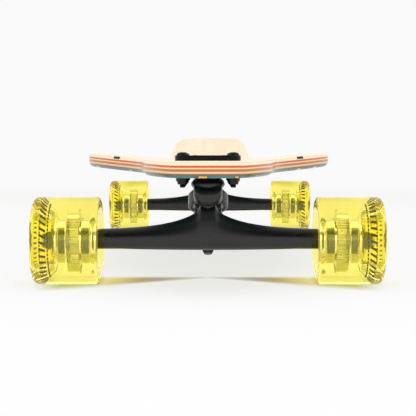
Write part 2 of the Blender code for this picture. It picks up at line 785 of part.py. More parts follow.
def add_truck(end, axle_y, heading, meshes, materials, collection, board):
    """One truck's fixed and steering pieces, and the four bolts and nuts that hold it."""
    truck = make_empty(f"{end}_truck", collection, board, (0, axle_y, WHEEL_RADIUS), (0, 0, heading))
    kingpin = make_empty(f"{end}_kingpin_line", collection, truck, RING_CENTRE, ALONG_KINGPIN)
    steering = make_empty(f"{end}_steering", collection, truck, RING_CENTRE)

    def add(name, mesh, material, parent, location=(0, 0, 0), rotation=(0, 0, 0)):
        add_piece(
            f"{end}_{name}", mesh, materials[material], collection, parent, location, rotation
        )

    add("baseplate", meshes["baseplate"], "cast", truck)
    add("pivot_cup", meshes["cup"], "cup", truck, PIVOT_MOUTH, ALONG_STEER)
    add("kingpin", meshes["kingpin"], "steel", kingpin)
    add("board_side_bushing", meshes["board_bushing"], "bushing", kingpin)
    add("road_side_bushing", meshes["road_bushing"], "bushing", kingpin)
    add("bushing_washer", meshes["washer"], "steel", kingpin)
    nut_seat = (0, 0, KINGPIN_NUT_TOP)
    add("kingpin_nut", meshes["kingpin_nut"], "steel", kingpin, nut_seat, UPSIDE_DOWN)
    add("hanger", meshes["hanger"], "cast", steering)
    add("axle", meshes["axle"], "steel", steering, -RING_CENTRE, ALONG_AXLE)
    rows = {"outer": BOLT_ROWS[0], "inner": BOLT_ROWS[1]}
    for row, along in rows.items():
        for side, x in sides(heading, BOLT_HALF_SPACING):
            bolt_place = (x, along, PLATE_TOP_HEIGHT + REST_GAP)
            nut_place = (x, along, MOUNT_NUT_TOP)
            add(f"mount_bolt_{row}_{side}", meshes["bolt"], "black_steel", truck, bolt_place)
            nut_name = f"mount_nut_{row}_{side}"
            add(nut_name, meshes["mount_nut"], "steel", truck, nut_place, UPSIDE_DOWN)
    for side, direction in sides(heading, 1):
        add_wheel(f"{end}_{side}", direction, steering, meshes, materials, collection)


def sides(heading, distance):
    """(side name, x in the truck's frame) for the rider's left and right."""
    flip = 1 if heading == 0 else -1
    return (("left", flip * distance), ("right", -flip * distance))


def add_wheel(prefix, direction, steering, meshes, materials, collection):
    """One wheel's pieces, drawn about Z and laid along the axle, outer face away from the board."""
    middle = direction * (WHEEL_INNER_FACE + WHEEL_OUTER_FACE) / 2
    outwards = (0, direction * TURN / 4, 0)
    axle_centre = -RING_CENTRE
    wheel_centre = axle_centre + Vector((middle, 0, 0))
    spin = make_empty(f"{prefix}_wheel_spin", collection, steering, wheel_centre, outwards)

    def add(name, mesh, material, along):
        add_piece(
            f"{prefix}_{name}", mesh, materials[material], collection, spin, (0, 0, along)
        )

    add("tyre", meshes["tyre"], "urethane", 0)
    add("wheel_core", meshes["core"], "core", 0)
    for name, start in zip(("inner_bearing", "outer_bearing"), BEARING_STARTS):
        add(name, meshes["bearing"], "steel", from_wheel_middle(start))
    spacer_start = BEARING_STARTS[0] + BEARING_WIDTH + REST_GAP
    add("bearing_spacer", meshes["spacer"], "steel", from_wheel_middle(spacer_start))
    add("axle_nut", meshes["axle_nut"], "steel", from_wheel_middle(AXLE_NUT_START))


def build_board():
    clear_scene()
    collection = make_collection("longboard")
    materials = {
        "wood": make_material("wood", (0.83, 0.64, 0.40), 0.45),
        "cast": make_material("black_cast_aluminium", (0.022, 0.022, 0.021), 0.38),
        "steel": make_material("zinc_steel", (0.55, 0.55, 0.55), 0.3, metallic=1.0),
        "black_steel": make_material("black_steel", (0.02, 0.02, 0.02), 0.35, metallic=0.6),
        "bushing": make_material("bushing_urethane", (0.03, 0.03, 0.03), 0.4),
        "cup": make_material("cup_plastic", (0.02, 0.02, 0.02), 0.5),
        "urethane": make_material("yellow_urethane", (0.90, 0.80, 0.05), 0.12, transmission=0.8),
        "core": make_material("clear_core", (0.85, 0.78, 0.12), 0.2, transmission=0.6),
    }
    meshes = {
        "baseplate": make_baseplate_mesh(),
        "cup": make_cup_mesh(),
        "kingpin": make_kingpin_mesh(),
        "board_bushing": make_bushing_mesh(BOARD_BUSHING_BOTTOM, BOARD_BUSHING_TOP),
        "road_bushing": make_bushing_mesh(ROAD_BUSHING_BOTTOM, ROAD_BUSHING_TOP),
        "washer": make_washer_mesh(),
        "kingpin_nut": make_nut_mesh(**KINGPIN_NUT),
        "hanger": make_hanger_mesh(),
        "axle": make_axle_mesh(),
        "bolt": make_bolt_mesh(),
        "mount_nut": make_nut_mesh(**MOUNT_NUT),
        "tyre": make_tyre_mesh(),
        "core": make_core_mesh(),
        "bearing": make_bearing_mesh(),
        "spacer": make_spacer_mesh(),
        "axle_nut": make_nut_mesh(**AXLE_NUT),
    }
    board = make_empty("board", collection)
    add_piece("deck", make_deck_mesh(), materials["wood"], collection, board)
    add_truck("front", FRONT_AXLE_Y, 0, meshes, materials, collection, board)
    add_truck("rear", FRONT_AXLE_Y + WHEELBASE, TURN / 2, meshes, materials, collection, board)


build_board()
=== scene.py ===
"""The looks of a drop-through longboard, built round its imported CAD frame. Metres, +Z up, nose towards -Y.

Each truck's pieces are drawn in the truck's own frame, as in the CAD: X along the axle, +Y from the axle
towards the middle of the board, Z up from the axle's centre. Turned pieces are drawn about Z.
"""

import json
import math

import bmesh
import bpy
from mathutils import Matrix, Vector


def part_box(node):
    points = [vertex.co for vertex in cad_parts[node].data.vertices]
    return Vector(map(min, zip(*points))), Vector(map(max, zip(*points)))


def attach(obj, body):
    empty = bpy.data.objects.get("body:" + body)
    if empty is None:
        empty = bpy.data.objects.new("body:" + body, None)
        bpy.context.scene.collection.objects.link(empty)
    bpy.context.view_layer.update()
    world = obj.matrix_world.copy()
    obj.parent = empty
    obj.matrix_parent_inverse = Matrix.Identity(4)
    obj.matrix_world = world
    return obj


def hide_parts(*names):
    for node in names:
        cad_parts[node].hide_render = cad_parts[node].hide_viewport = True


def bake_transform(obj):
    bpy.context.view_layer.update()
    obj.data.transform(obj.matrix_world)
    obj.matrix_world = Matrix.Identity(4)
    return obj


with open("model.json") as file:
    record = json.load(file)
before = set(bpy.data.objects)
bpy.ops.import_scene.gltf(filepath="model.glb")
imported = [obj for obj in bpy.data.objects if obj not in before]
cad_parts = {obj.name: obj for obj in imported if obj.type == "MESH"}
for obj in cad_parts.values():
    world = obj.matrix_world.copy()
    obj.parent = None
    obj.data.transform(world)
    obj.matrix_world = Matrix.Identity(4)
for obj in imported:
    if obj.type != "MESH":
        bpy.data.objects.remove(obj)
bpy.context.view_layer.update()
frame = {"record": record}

MM = 0.001
TURN = 2 * math.pi


def middle(node):
    low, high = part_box(node)
    return (low + high) / 2


def at(x, y, z):
    return Matrix.Translation((x, y, z))


# Places and sizes that the frame gives
FRONT_AXLE = middle("front_axle")
REAR_AXLE = middle("rear_axle")
AXLE_LOW, AXLE_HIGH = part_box("front_axle")
AXLE_END = (AXLE_HIGH.x - AXLE_LOW.x) / 2
WHEEL_SLACK = 0.01 * MM  # how far the tyres stay inside their CAD solids
WHEEL_RADIUS = FRONT_AXLE.z - WHEEL_SLACK
WHEEL_MIDDLE = middle("front_left_tyre").x
WHEEL_HALF_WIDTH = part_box("front_left_tyre")[1].x - WHEEL_MIDDLE - WHEEL_SLACK
DECK_LOW, DECK_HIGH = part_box("deck")
DECK_TOP = frame["record"]["mounts"][0]["pos_m"][2]
PLATE_LOW, PLATE_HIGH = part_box("front_baseplate")

# Deck
DECK_THICKNESS = 13 * MM
BODY_HALF_WIDTH = DECK_HIGH.x
NOSE = {"tip": 14 * MM, "full": 46 * MM, "corner_length": 75 * MM, "power": 1.6, "flare": 0.075}
TAIL = {"tip": 26 * MM, "full": 51 * MM, "corner_length": 40 * MM, "power": 2.2, "flare": 0.09}
SHOULDER_START = 74 * MM
SHOULDER_END = 205 * MM
FLAT_HALF_WIDTH = 28 * MM
RAIL_RISE = 7.6 * MM
RAIL_POWER = 1.2
KICK_START = REAR_AXLE.y + 40 * MM
KICK_ANGLE = math.radians(20.5)
KICK_RADIUS = 120 * MM
TOP_EDGE = 3.2 * MM
BOTTOM_EDGE = 4.6 * MM

# Truck
RING_CENTRE = Vector((0, 26 * MM, 14 * MM))
STEER_SLOPE = math.radians(36)
KINGPIN_LEAN = math.radians(22)
PIVOT_MOUTH = 41.3 * MM  # along the steering line, from the ring's centre
RING_RADIUS = 14.5 * MM
RING_HALF_THICKNESS = 3.5 * MM
KINGPIN_RADIUS = 4.76 * MM
AXLE_RADIUS = 4 * MM
THROAT_HALF_WIDTH = 14.5 * MM
THROAT_ENDS = (-20.5 * MM, 53 * MM)
THROAT_BOTTOM = 44 * MM
HANGER_HALF_LENGTH = 90.5 * MM
BOSS_END = 95.6 * MM
ARM_CREST = 6 * MM
BOLT_X = 20.65 * MM
BOLT_HOLE_RADIUS = 2.75 * MM
BOLT_ROWS = {"outer": -12 * MM, "inner": 41.8 * MM}
PLATE_BOTTOM = DECK_TOP - FRONT_AXLE.z + 0.02 * MM
PLATE_TOP = PLATE_HIGH.z - FRONT_AXLE.z
DECK_BOTTOM = DECK_TOP - FRONT_AXLE.z - DECK_THICKNESS

# Heights along the kingpin, from the ring's centre
KINGPIN_HEAD_SEAT = 38 * MM
SEAT_MIDDLE = 21.55 * MM
SEAT_FACE = 15.1 * MM
BUSHINGS = {  # each bushing's end at the ring, then its end at the washer
    "board_side_bushing": (3.8 * MM, 13.3 * MM),
    "road_side_bushing": (-3.8 * MM, -11.8 * MM),
}
WASHER_TOP = -12.1 * MM
NUT_SEAT = WASHER_TOP - 1.6 * MM
KINGPIN_TIP = -28 * MM

# Wheel, drawn about Z with height 0 at the wheel's middle and +Z away from the board
BEARING_WIDTH = 7 * MM
BEARING_STARTS = {"inner_bearing": 97 * MM - WHEEL_MIDDLE, "outer_bearing": 114.5 * MM - WHEEL_MIDDLE}
BEARING_GAP = 0.3 * MM
SPACER_START = BEARING_STARTS["inner_bearing"] + BEARING_WIDTH + BEARING_GAP
SPEED_RING_STARTS = {
    "inner_speed_ring": BOSS_END + 0.2 * MM - WHEEL_MIDDLE,
    "outer_speed_ring": 121.75 * MM - WHEEL_MIDDLE,
}
AXLE_NUT_START = 123.1 * MM - WHEEL_MIDDLE
CORE_ENDS = (96.3 * MM - WHEEL_MIDDLE, 122.2 * MM - WHEEL_MIDDLE)
CORE_RADIUS = 18.9 * MM
HUB_RADIUS = 13.4 * MM
BAND = (104.2 * MM - WHEEL_MIDDLE, 114.3 * MM - WHEEL_MIDDLE)  # the ribbed middle of the core
BAND_SLOPE = 1.5 * MM
DISH = [
    (20.5 * MM, WHEEL_HALF_WIDTH - 15 * MM),
    (27 * MM, WHEEL_HALF_WIDTH - 5 * MM),
    (29.5 * MM, WHEEL_HALF_WIDTH - MM),
]

TRUCKS = {
    "front": Matrix.Translation(FRONT_AXLE),
    "rear": Matrix.Translation(REAR_AXLE) @ Matrix.Rotation(TURN / 2, 4, "Z"),
}
KINGPIN_LINE = Matrix.Translation(RING_CENTRE) @ Matrix.Rotation(-KINGPIN_LEAN, 4, "X")
STEER_LINE = Matrix.Translation(RING_CENTRE) @ Matrix.Rotation(TURN / 4 - STEER_SLOPE, 4, "X")
AXLE_LINE = Matrix.Rotation(TURN / 4, 4, "Y")
UPSIDE_DOWN = Matrix.Rotation(TURN / 2, 4, "X")


# Shape tools


def mesh_of(points, faces):
    mesh = bpy.data.meshes.new("shape")
    mesh.from_pydata([tuple(point) for point in points], [], faces)
    mesh.validate()
    return mesh


def is_ring(outline):
    """Whether a turned outline goes all the way round, rather than from axis to axis."""
    return outline[0][0] > 0


def rounded(outline, radius, steps=3):
    """The outline of a turned piece with each corner rounded, as far as its neighbours leave room."""
    last = len(outline) - 1
    result = []
    for index, point in enumerate(outline):
        here = Vector(point)
        if index in (0, last) and not is_ring(outline):
            result.append(here)
            continue
        before = Vector(outline[index - 1]) - here
        after = Vector(outline[(index + 1) % len(outline)]) - here
        cut = min(radius, before.length * 0.45, after.length * 0.45)
        start = here + before.normalized() * cut
        end = here + after.normalized() * cut
        for step in range(steps + 1):
            t = step / steps
            result.append(start * (1 - t) ** 2 + here * 2 * t * (1 - t) + end * t**2)
    return [tuple(point) for point in result]


def turned(outline, segments=64):
    """A mesh turned about Z from (radius, height) points that run down the outer side."""
    points = []
    rings = []
    for radius, height in outline:
        if radius < 1e-6:
            rings.append([len(points)] * segments)
            points.append((0, 0, height))
            continue
        rings.append(list(range(len(points), len(points) + segments)))
        for step in range(segments):
            angle = TURN * step / segments
            points.append((radius * math.cos(angle), radius * math.sin(angle), height))
    faces = []
    pairs = list(zip(rings, rings[1:]))
    if is_ring(outline):
        pairs.append((rings[-1], rings[0]))
    for upper, lower in pairs:
        for step in range(segments):
            beside = (step + 1) % segments
            corners = (upper[step], lower[step], lower[beside], upper[beside])
            distinct = list(dict.fromkeys(corners))
            if len(distinct) > 2:
                faces.append(distinct)
    return mesh_of(points, faces)


def lofted(rings):
    """A closed mesh through rings of equally many points."""
    count = len(rings[0])
    points = [point for ring in rings for point in ring]
    faces = []
    for index in range(len(rings) - 1):
        first, second = index * count, (index + 1) * count
        for step in range(count):
            beside = (step + 1) % count
            faces.append((first + step, first + beside, second + beside, second + step))
    last = (len(rings) - 1) * count
    faces.append(tuple(reversed(range(count))))
    faces.append(tuple(range(last, last + count)))
    mesh = mesh_of(points, faces)
    face_outwards(mesh)
    return mesh


def prism(outline, bottom, top):
    """A mesh of even thickness from a flat outline."""
    return lofted([[(x, y, height) for x, y in outline] for height in (bottom, top)])


def face_outwards(mesh):
    shape = bmesh.new()
    shape.from_mesh(mesh)
    bmesh.ops.recalc_face_normals(shape, faces=shape.faces)
    shape.to_mesh(mesh)
    shape.free()


def moved(mesh, matrix):
    mesh.transform(matrix)
    return mesh


def cylinder(radius, bottom, top, segments=48):
    return turned([(0, top), (radius, top), (radius, bottom), (0, bottom)], segments)


def rounded_rectangle(x_reach, y_low, y_high, radius):
    steps = 8
    points = []
    corners = ((x_reach, y_high), (-x_reach, y_high), (-x_reach, y_low), (x_reach, y_low))
    for quarter, (x, y) in enumerate(corners):
        centre_x = x - math.copysign(radius, x)
        centre_y = y - radius if y == y_high else y + radius
        for step in range(steps + 1):
            angle = (quarter + step / steps) * TURN / 4
            points.append((centre_x + radius * math.cos(angle), centre_y + radius * math.sin(angle)))
    return points


def in_scene(name, data):
    thing = bpy.data.objects.new(name, data)
    bpy.context.scene.collection.objects.link(thing)
    return thing


def applied(thing):
    """The mesh of a helper with its modifiers applied, the helper removed."""
    bpy.context.view_layer.update()
    graph = bpy.context.evaluated_depsgraph_get()
    mesh = bpy.data.meshes.new_from_object(thing.evaluated_get(graph), depsgraph=graph)
    bpy.data.objects.remove(thing)
    return mesh


def combined(body, joins=(), cuts=(), keeps=()):
    """Boolean joins, then cuts, then intersections."""
    thing = in_scene("helper", body)
    others = []
    for operation, meshes in (("UNION", joins), ("DIFFERENCE", cuts), ("INTERSECT", keeps)):
        for mesh in meshes:
            others.append(in_scene("helper", mesh))
            boolean = thing.modifiers.new(operation, "BOOLEAN")
            boolean.operation = operation
            boolean.object = others[-1]
    mesh = applied(thing)
    for other in others:
        bpy.data.objects.remove(other)
    return mesh


def joined(meshes):
    """One mesh that holds all of these, overlaps and all."""
    shape = bmesh.new()
    for mesh in meshes:
        shape.from_mesh(mesh)
    whole = bpy.data.meshes.new("joined")
    shape.to_mesh(whole)
    shape.free()
    return whole


def cast(meshes, voxel, rounds):
    """A casting's soft corners: the pieces remeshed together in even quads and then smoothed."""
    thing = in_scene("helper", joined(meshes))
    remesh = thing.modifiers.new("even", "REMESH")
    remesh.mode = "VOXEL"
    remesh.voxel_size = voxel
    smooth = thing.modifiers.new("soft", "SMOOTH")
    smooth.factor = 0.6
    smooth.iterations = rounds
    return applied(thing)


def bevelled(mesh, width, segments, angle=30):
    thing = in_scene("helper", mesh)
    bevel = thing.modifiers.new("edges", "BEVEL")
    bevel.width = width
    bevel.segments = segments
    bevel.limit_method = "ANGLE"
    bevel.angle_limit = math.radians(angle)
    return applied(thing)


def off_axis(point):
    return math.hypot(point.x, point.y)


def smooth_step(value):
    value = min(max(value, 0), 1)
    return value * value * (3 - 2 * value)


# Materials


def feed(tree, socket, value):
    """Links a node's output to the socket, or sets the socket's own value."""
    if isinstance(value, bpy.types.NodeSocket):
        tree.links.new(value, socket)
    elif socket.type == "RGBA":
        socket.default_value = (*value, 1)
    else:
        socket.default_value = value


def new_node(tree, kind, inputs=None, **settings):
    """A node with these settings, its inputs fed by name or by number."""
    made = tree.nodes.new(kind)
    for key, value in settings.items():
        setattr(made, key, value)
    for key, value in (inputs or {}).items():
        feed(tree, made.inputs[key], value)
    return made


def math_node(tree, operation, *values):
    return new_node(tree, "ShaderNodeMath", dict(enumerate(values)), operation=operation).outputs["Value"]


class Finish:
    """A Principled material with short ways to add procedural detail."""

    def __init__(self, name, colour, roughness, metallic=0.0, **more):
        self.material = bpy.data.materials.new(name)
        self.material.use_nodes = True
        self.tree = self.material.node_tree
        self.shader = self.tree.nodes["Principled BSDF"]
        self.set(Base_Color=colour, Roughness=roughness, Metallic=metallic, **more)
        self.place = self.node("ShaderNodeTexCoord").outputs["Object"]

    def set(self, **sockets):
        for name, value in sockets.items():
            feed(self.tree, self.shader.inputs[name.replace("_", " ")], value)

    def node(self, kind, inputs=None, **settings):
        return new_node(self.tree, kind, inputs, **settings)

    def stretched(self, scale):
        return self.node("ShaderNodeMapping", {"Scale": scale, "Vector": self.place}).outputs["Vector"]

    def noise(self, scale, detail=3.0, place=None, roughness=0.5, distortion=0.0):
        inputs = {"Scale": scale, "Detail": detail, "Roughness": roughness, "Distortion": distortion}
        inputs["Vector"] = place or self.place
        return self.node("ShaderNodeTexNoise", inputs).outputs["Fac"]

    def ramp(self, value, stops, constant=False):
        """stops are (position, colour) pairs, with a grey given as one number."""
        ramp = self.node("ShaderNodeValToRGB", {"Fac": value})
        ramp.color_ramp.interpolation = "CONSTANT" if constant else "LINEAR"
        elements = ramp.color_ramp.elements
        while len(elements) < len(stops):
            elements.new(0.5)
        for element, (position, colour) in zip(elements, stops):
            element.position = position
            element.color = (*colour, 1) if isinstance(colour, tuple) else (colour,) * 3 + (1,)
        return ramp.outputs["Color"]

    def vary(self, noise, low, high, start=0.3, end=0.7):
        """low where the noise is below start, high where it is above end, and a blend between."""
        return self.ramp(noise, ((start, low), (end, high)))

    def mix(self, share, first, second, mode="MIX"):
        inputs = {0: share, 6: first, 7: second}
        return self.node("ShaderNodeMix", inputs, data_type="RGBA", blend_type=mode).outputs[2]

    def bump(self, height, strength, distance):
        bump = self.node("ShaderNodeBump", {"Strength": strength, "Distance": distance, "Height": height})
        self.set(Normal=bump.outputs["Normal"])


def deck_finish():
    """Plies by depth below the top: pale veneer, dyed and plain plies, and a painted underside."""
    finish = Finish("deck_laminate", (0.9, 0.75, 0.52), 0.32, Coat_Weight=0.35, Coat_Roughness=0.15)
    depth = finish.node("ShaderNodeAttribute", attribute_name="depth").outputs["Fac"]
    plies = (
        (0, (0.98, 0.86, 0.66)),
        (0.07, (0.93, 0.72, 0.42)),
        (0.14, (0.95, 0.82, 0.62)),
        (0.265, (0.66, 0.09, 0.01)),
        (0.39, (0.92, 0.62, 0.32)),
        (0.48, (0.50, 0.15, 0.02)),
        (0.62, (0.86, 0.54, 0.27)),
        (0.75, (0.15, 0.11, 0.11)),
        (0.865, (0.055, 0.13, 0.115)),
    )
    edge = finish.ramp(depth, plies, constant=True)
    fibres = finish.noise(1.0, 5.0, finish.stretched((900, 14, 900)), 0.6)
    rings = finish.noise(1.0, 3.0, finish.stretched((55, 1.6, 40)), 0.5, 0.8)
    pale, dark, warm = (0.99, 0.86, 0.63), (0.95, 0.79, 0.54), (0.98, 0.84, 0.60)
    grain = finish.ramp(rings, ((0.35, pale), (0.55, dark), (0.7, warm)))
    top = finish.mix(0.5, grain, finish.vary(fibres, 0.9, 1.0, 0.35, 0.65), "MULTIPLY")
    on_top = finish.ramp(depth, ((0, 1.0), (0.035, 0.0)), constant=True)
    fleck = finish.noise(41.0, 1.5, finish.stretched((1, 0.45, 1)), 0.4, 1.6)
    teals = finish.vary(finish.noise(6.0, 2.0), (0.008, 0.10, 0.125), (0.02, 0.19, 0.20), 0.35, 0.65)
    in_fleck = finish.ramp(fleck, ((0, 0.0), (0.63, 1.0)), constant=True)
    painted = finish.mix(in_fleck, teals, (0.86, 0.50, 0.03))
    stripe = finish.ramp(fleck, ((0, 0.0), (0.605, 1.0), (0.63, 0.0)), constant=True)
    painted = finish.mix(stripe, painted, (0.01, 0.035, 0.06))
    underneath = finish.ramp(depth, ((0, 0.0), (0.89, 1.0)), constant=True)
    shade = finish.mix(on_top, edge, top)
    finish.set(Base_Color=finish.mix(underneath, shade, painted))
    finish.set(Roughness=finish.vary(fibres, 0.30, 0.42))
    finish.bump(fibres, 0.12, 0.0002)
    return finish.material


def powder_coat(name, shine):
    finish = Finish(name, (0.002, 0.002, 0.0021), 0.25, Specular_IOR_Level=shine)
    finish.set(Roughness=finish.vary(finish.noise(300.0), 0.26, 0.32))
    blacks = finish.vary(finish.noise(45.0), (0.0016, 0.0016, 0.0018), (0.0026, 0.0026, 0.0026))
    finish.set(Base_Color=blacks)
    finish.bump(finish.noise(1400.0, 2.0), 0.07, 0.0001)
    return finish.material


def steel(name, colour, roughness, scale):
    finish = Finish(name, colour, roughness, 1.0)
    marks = finish.noise(scale, 3.0, finish.stretched((1, 1, 14)))
    darker = tuple(c * 0.86 for c in colour)
    finish.set(Roughness=finish.vary(marks, roughness * 0.75, roughness * 1.4))
    finish.set(Base_Color=finish.vary(marks, darker, colour))
    return finish.material


def urethane(name, colour, roughness, index, clearness, glow=0.0):
    """Clear tinted urethane. The glow stands in for light scattered inside it, which its rims gather."""
    finish = Finish(name, colour, roughness, Transmission_Weight=clearness, IOR=index)
    finish.set(Emission_Strength=glow, Emission_Color=(1.0, 0.72, 0.03))
    paler = tuple(min(c * 1.05, 1) for c in colour)
    finish.set(Base_Color=finish.vary(finish.noise(35.0, 2.0), colour, paler, 0.35, 0.65))
    return finish.material


def plain_moulded(name, colour, roughness):
    finish = Finish(name, colour, roughness)
    paler = tuple(c * 1.35 for c in colour)
    finish.set(Roughness=finish.vary(finish.noise(220.0), roughness * 0.85, roughness * 1.2))
    finish.set(Base_Color=finish.vary(finish.noise(60.0), colour, paler))
    finish.bump(finish.noise(900.0, 2.0), 0.15, 0.0001)
    return finish.material


MATERIALS = {
    "deck": deck_finish(),
    "cast": powder_coat("black_powder_coat", 0.6),
    "plate": powder_coat("plate_powder_coat", 0.2),
    "zinc": steel("zinc_steel", (0.62, 0.62, 0.64), 0.22, 500.0),
    "dark_steel": steel("dark_steel", (0.16, 0.16, 0.17), 0.26, 420.0),
    "black_steel": steel("black_oxide", (0.035, 0.035, 0.037), 0.3, 420.0),
    # steel for the bearing races and the axle nut, darkened and tinted green as painted shade: the shade
    # inside the yellow wheels
    "painted_shade_steel": steel("steel_with_painted_green_shade", (0.05, 0.09, 0.065), 0.35, 700.0),
    "shield": plain_moulded("bearing_shield", (0.02, 0.02, 0.022), 0.4),
    "bushing": plain_moulded("bushing_urethane", (0.022, 0.022, 0.022), 0.35),
    "cup": plain_moulded("cup_nylon", (0.03, 0.03, 0.032), 0.45),
    "tyre": urethane("wheel_urethane", (1.0, 0.88, 0.18), 0.02, 1.4, 0.97, 0.05),
    "bore": urethane("wheel_bore", (0.99, 0.985, 0.93), 0.02, 1.4, 0.98),
    "core": urethane("wheel_core", (0.99, 0.97, 0.78), 0.03, 1.44, 0.97),
    "ink": plain_moulded("ink", (0.004, 0.004, 0.005), 0.5),
}


# Putting pieces on the frame


def shade_smooth(mesh):
    """Smooth shading, with the real edges kept sharp."""
    mesh.shade_smooth()
    mesh.set_sharp_from_angle(angle=math.radians(32))


def in_two_materials(mesh, first, second, is_second):
    """The mesh with the second material on the faces whose centres is_second picks."""
    mesh.materials.append(MATERIALS[first])
    mesh.materials.append(MATERIALS[second])
    for face in mesh.polygons:
        face.material_index = int(is_second(face.center))
    shade_smooth(mesh)
    return mesh


def piece(name, mesh, material, body, replaced=None, place=None, blend=None):
    """One finished piece, riding on its CAD body, or, when given a blend, left unattached with its place
    baked into its mesh.
    """
    thing = in_scene(name, mesh)
    if place is not None:
        thing.matrix_world = place
    if not mesh.materials:
        mesh.materials.append(MATERIALS[material])
        shade_smooth(mesh)
    if blend:
        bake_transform(thing)
    else:
        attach(thing, body)
    if replaced:
        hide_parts(replaced)
    return thing


# Deck


def rail_lift(x):
    beyond = max(abs(x) - FLAT_HALF_WIDTH, 0) / (BODY_HALF_WIDTH - FLAT_HALF_WIDTH)
    return RAIL_RISE * beyond**RAIL_POWER


def kick_line(distance):
    """(along, rise, slope) of the deck's top at this distance past the start of the kick."""
    if distance <= 0:
        return distance, 0, 0
    slope = min(distance / KICK_RADIUS, KICK_ANGLE)
    straight = max(distance - KICK_RADIUS * KICK_ANGLE, 0)
    along = KICK_RADIUS * math.sin(slope) + straight * math.cos(KICK_ANGLE)
    rise = KICK_RADIUS * (1 - math.cos(slope)) + straight * math.sin(KICK_ANGLE)
    return along, rise, slope


def tip_half_width(from_tip, tip, full, corner_length, power, flare):
    share = min(max(from_tip, 0) / corner_length, 1)
    return tip + (full - tip) * (1 - (1 - share) ** power) ** (1 / power) + flare * from_tip


def deck_half_width(y, from_nose, from_tail):
    reach = SHOULDER_END - SHOULDER_START
    if y < FRONT_AXLE.y + SHOULDER_END:
        narrow = tip_half_width(from_nose, **NOSE)
        share = smooth_step((y - FRONT_AXLE.y - SHOULDER_START) / reach)
    else:
        narrow = tip_half_width(from_tail, **TAIL)
        share = smooth_step((REAR_AXLE.y - SHOULDER_START - y) / reach)
    return narrow + (BODY_HALF_WIDTH - narrow) * share


def edge_round(distance, radius):
    """How far a rounded edge has dropped at this distance in from its outer side."""
    inside = max(radius - distance, 0)
    return radius - math.sqrt(radius**2 - inside**2)


def deck_section(half_width, stretch, end_distance):
    """(x, height) points round one cross-section, its rounding stretched where the outline is aslant."""
    corner_steps = 6
    flat_steps = 28

    def face_points(radius, face, up):
        """The top (up 1) or the underside (up -1) with its rounded corners, from -X to +X."""
        reach = min(radius * stretch, half_width * 0.8)
        inner = half_width - reach
        angles = [TURN / 4 * step / corner_steps for step in range(1, corner_steps + 1)]
        corner = [(inner + reach * math.sin(angle), radius * (1 - math.cos(angle))) for angle in angles]
        flat = [(inner * (2 * step / flat_steps - 1), 0) for step in range(flat_steps + 1)]
        spread = [(-x, drop) for x, drop in reversed(corner)] + flat + corner
        end_drop = edge_round(end_distance, radius)
        return [(x, rail_lift(x) + face - up * max(drop, end_drop)) for x, drop in spread]

    top = face_points(TOP_EDGE, 0, 1)
    bottom = face_points(BOTTOM_EDGE, -DECK_THICKNESS, -1)
    return top[corner_steps:] + bottom[::-1] + top[:corner_steps]


def deck_length():
    """The length of the deck's top, measured along the kick."""
    lean = BOTTOM_EDGE * (1 - math.cos(KICK_ANGLE)) + 0.05 * MM
    run = DECK_HIGH.y - KICK_START - (DECK_THICKNESS - BOTTOM_EDGE) * math.sin(KICK_ANGLE) - lean
    straight = (run - KICK_RADIUS * math.sin(KICK_ANGLE)) / math.cos(KICK_ANGLE)
    return KICK_START - DECK_LOW.y + KICK_RADIUS * KICK_ANGLE + straight


def deck_stations(length):
    """Distances from the nose: close at the rounded ends, about 6 mm apart between."""
    close = [0, 0.15, 0.5, 1, 1.7, 2.5, 3.3, 4, 6, 8.5, 12, 16]
    near = [step * MM for step in close]
    count = 170
    spread = [16 * MM + (length - 32 * MM) * step / count for step in range(1, count)]
    return near + spread + [length - step for step in reversed(near)]


def depth_below_top(point):
    """The share of the deck's thickness that lies above a point of it."""
    y = point.y - KICK_START
    height = point.z - DECK_TOP
    if y <= 0:
        below = -height
    else:
        angle = math.atan2(y, KICK_RADIUS - height)
        if angle < KICK_ANGLE:
            below = math.hypot(y, KICK_RADIUS - height) - KICK_RADIUS
        else:
            end = KICK_RADIUS * math.sin(KICK_ANGLE)
            rise = KICK_RADIUS * (1 - math.cos(KICK_ANGLE))
            below = (y - end) * math.sin(KICK_ANGLE) - (height - rise) * math.cos(KICK_ANGLE)
    return (below + rail_lift(point.x)) / DECK_THICKNESS


def bolt_holes(bottom, top, truck):
    holes = []
    for row in BOLT_ROWS.values():
        for x in (-BOLT_X, BOLT_X):
            holes.append(moved(cylinder(BOLT_HOLE_RADIUS, bottom, top, 32), truck @ at(x, row, 0)))
    return holes


def deck_cuts():
    """For each truck the slot, the round hollow for its bushing seat and the bolt holes."""
    cuts = []
    slot_ends = (-25.5 * MM, THROAT_ENDS[1] + MM)
    reach = (DECK_BOTTOM - 20 * MM, PLATE_TOP + 20 * MM)
    seat_y = RING_CENTRE.y + SEAT_MIDDLE * math.sin(KINGPIN_LEAN)
    for truck in TRUCKS.values():
        slot_outline = rounded_rectangle(THROAT_HALF_WIDTH + MM, *slot_ends, THROAT_HALF_WIDTH)
        cuts.append(moved(prism(slot_outline, *reach), truck))
        cuts.append(moved(cylinder(17.5 * MM, *reach, 64), truck @ at(0, seat_y, 0)))
        cuts += bolt_holes(*reach, truck)
    return cuts


def make_deck():
    length = deck_length()
    kick_from_nose = KICK_START - DECK_LOW.y

    def half_width_at(distance):
        return deck_half_width(DECK_LOW.y + distance, distance, length - distance)

    rings = []
    for distance in deck_stations(length):
        ahead, behind = max(distance - MM, 0), min(distance + MM, length)
        slant = (half_width_at(behind) - half_width_at(ahead)) / (behind - ahead)
        end_distance = min(distance, length - distance)
        section = deck_section(half_width_at(distance), math.hypot(1, slant), end_distance)
        along, rise, slope = kick_line(distance - kick_from_nose)
        y = KICK_START + along
        down, back = math.cos(slope), math.sin(slope)
        rings.append([(x, y - height * back, DECK_TOP + rise + height * down) for x, height in section])
    mesh = combined(lofted(rings), cuts=deck_cuts())
    depth = mesh.attributes.new("depth", "FLOAT", "POINT")
    for index, vertex in enumerate(mesh.vertices):
        depth.data[index].value = depth_below_top(vertex.co)
    piece("laminated_deck", mesh, "deck", "board", "deck")


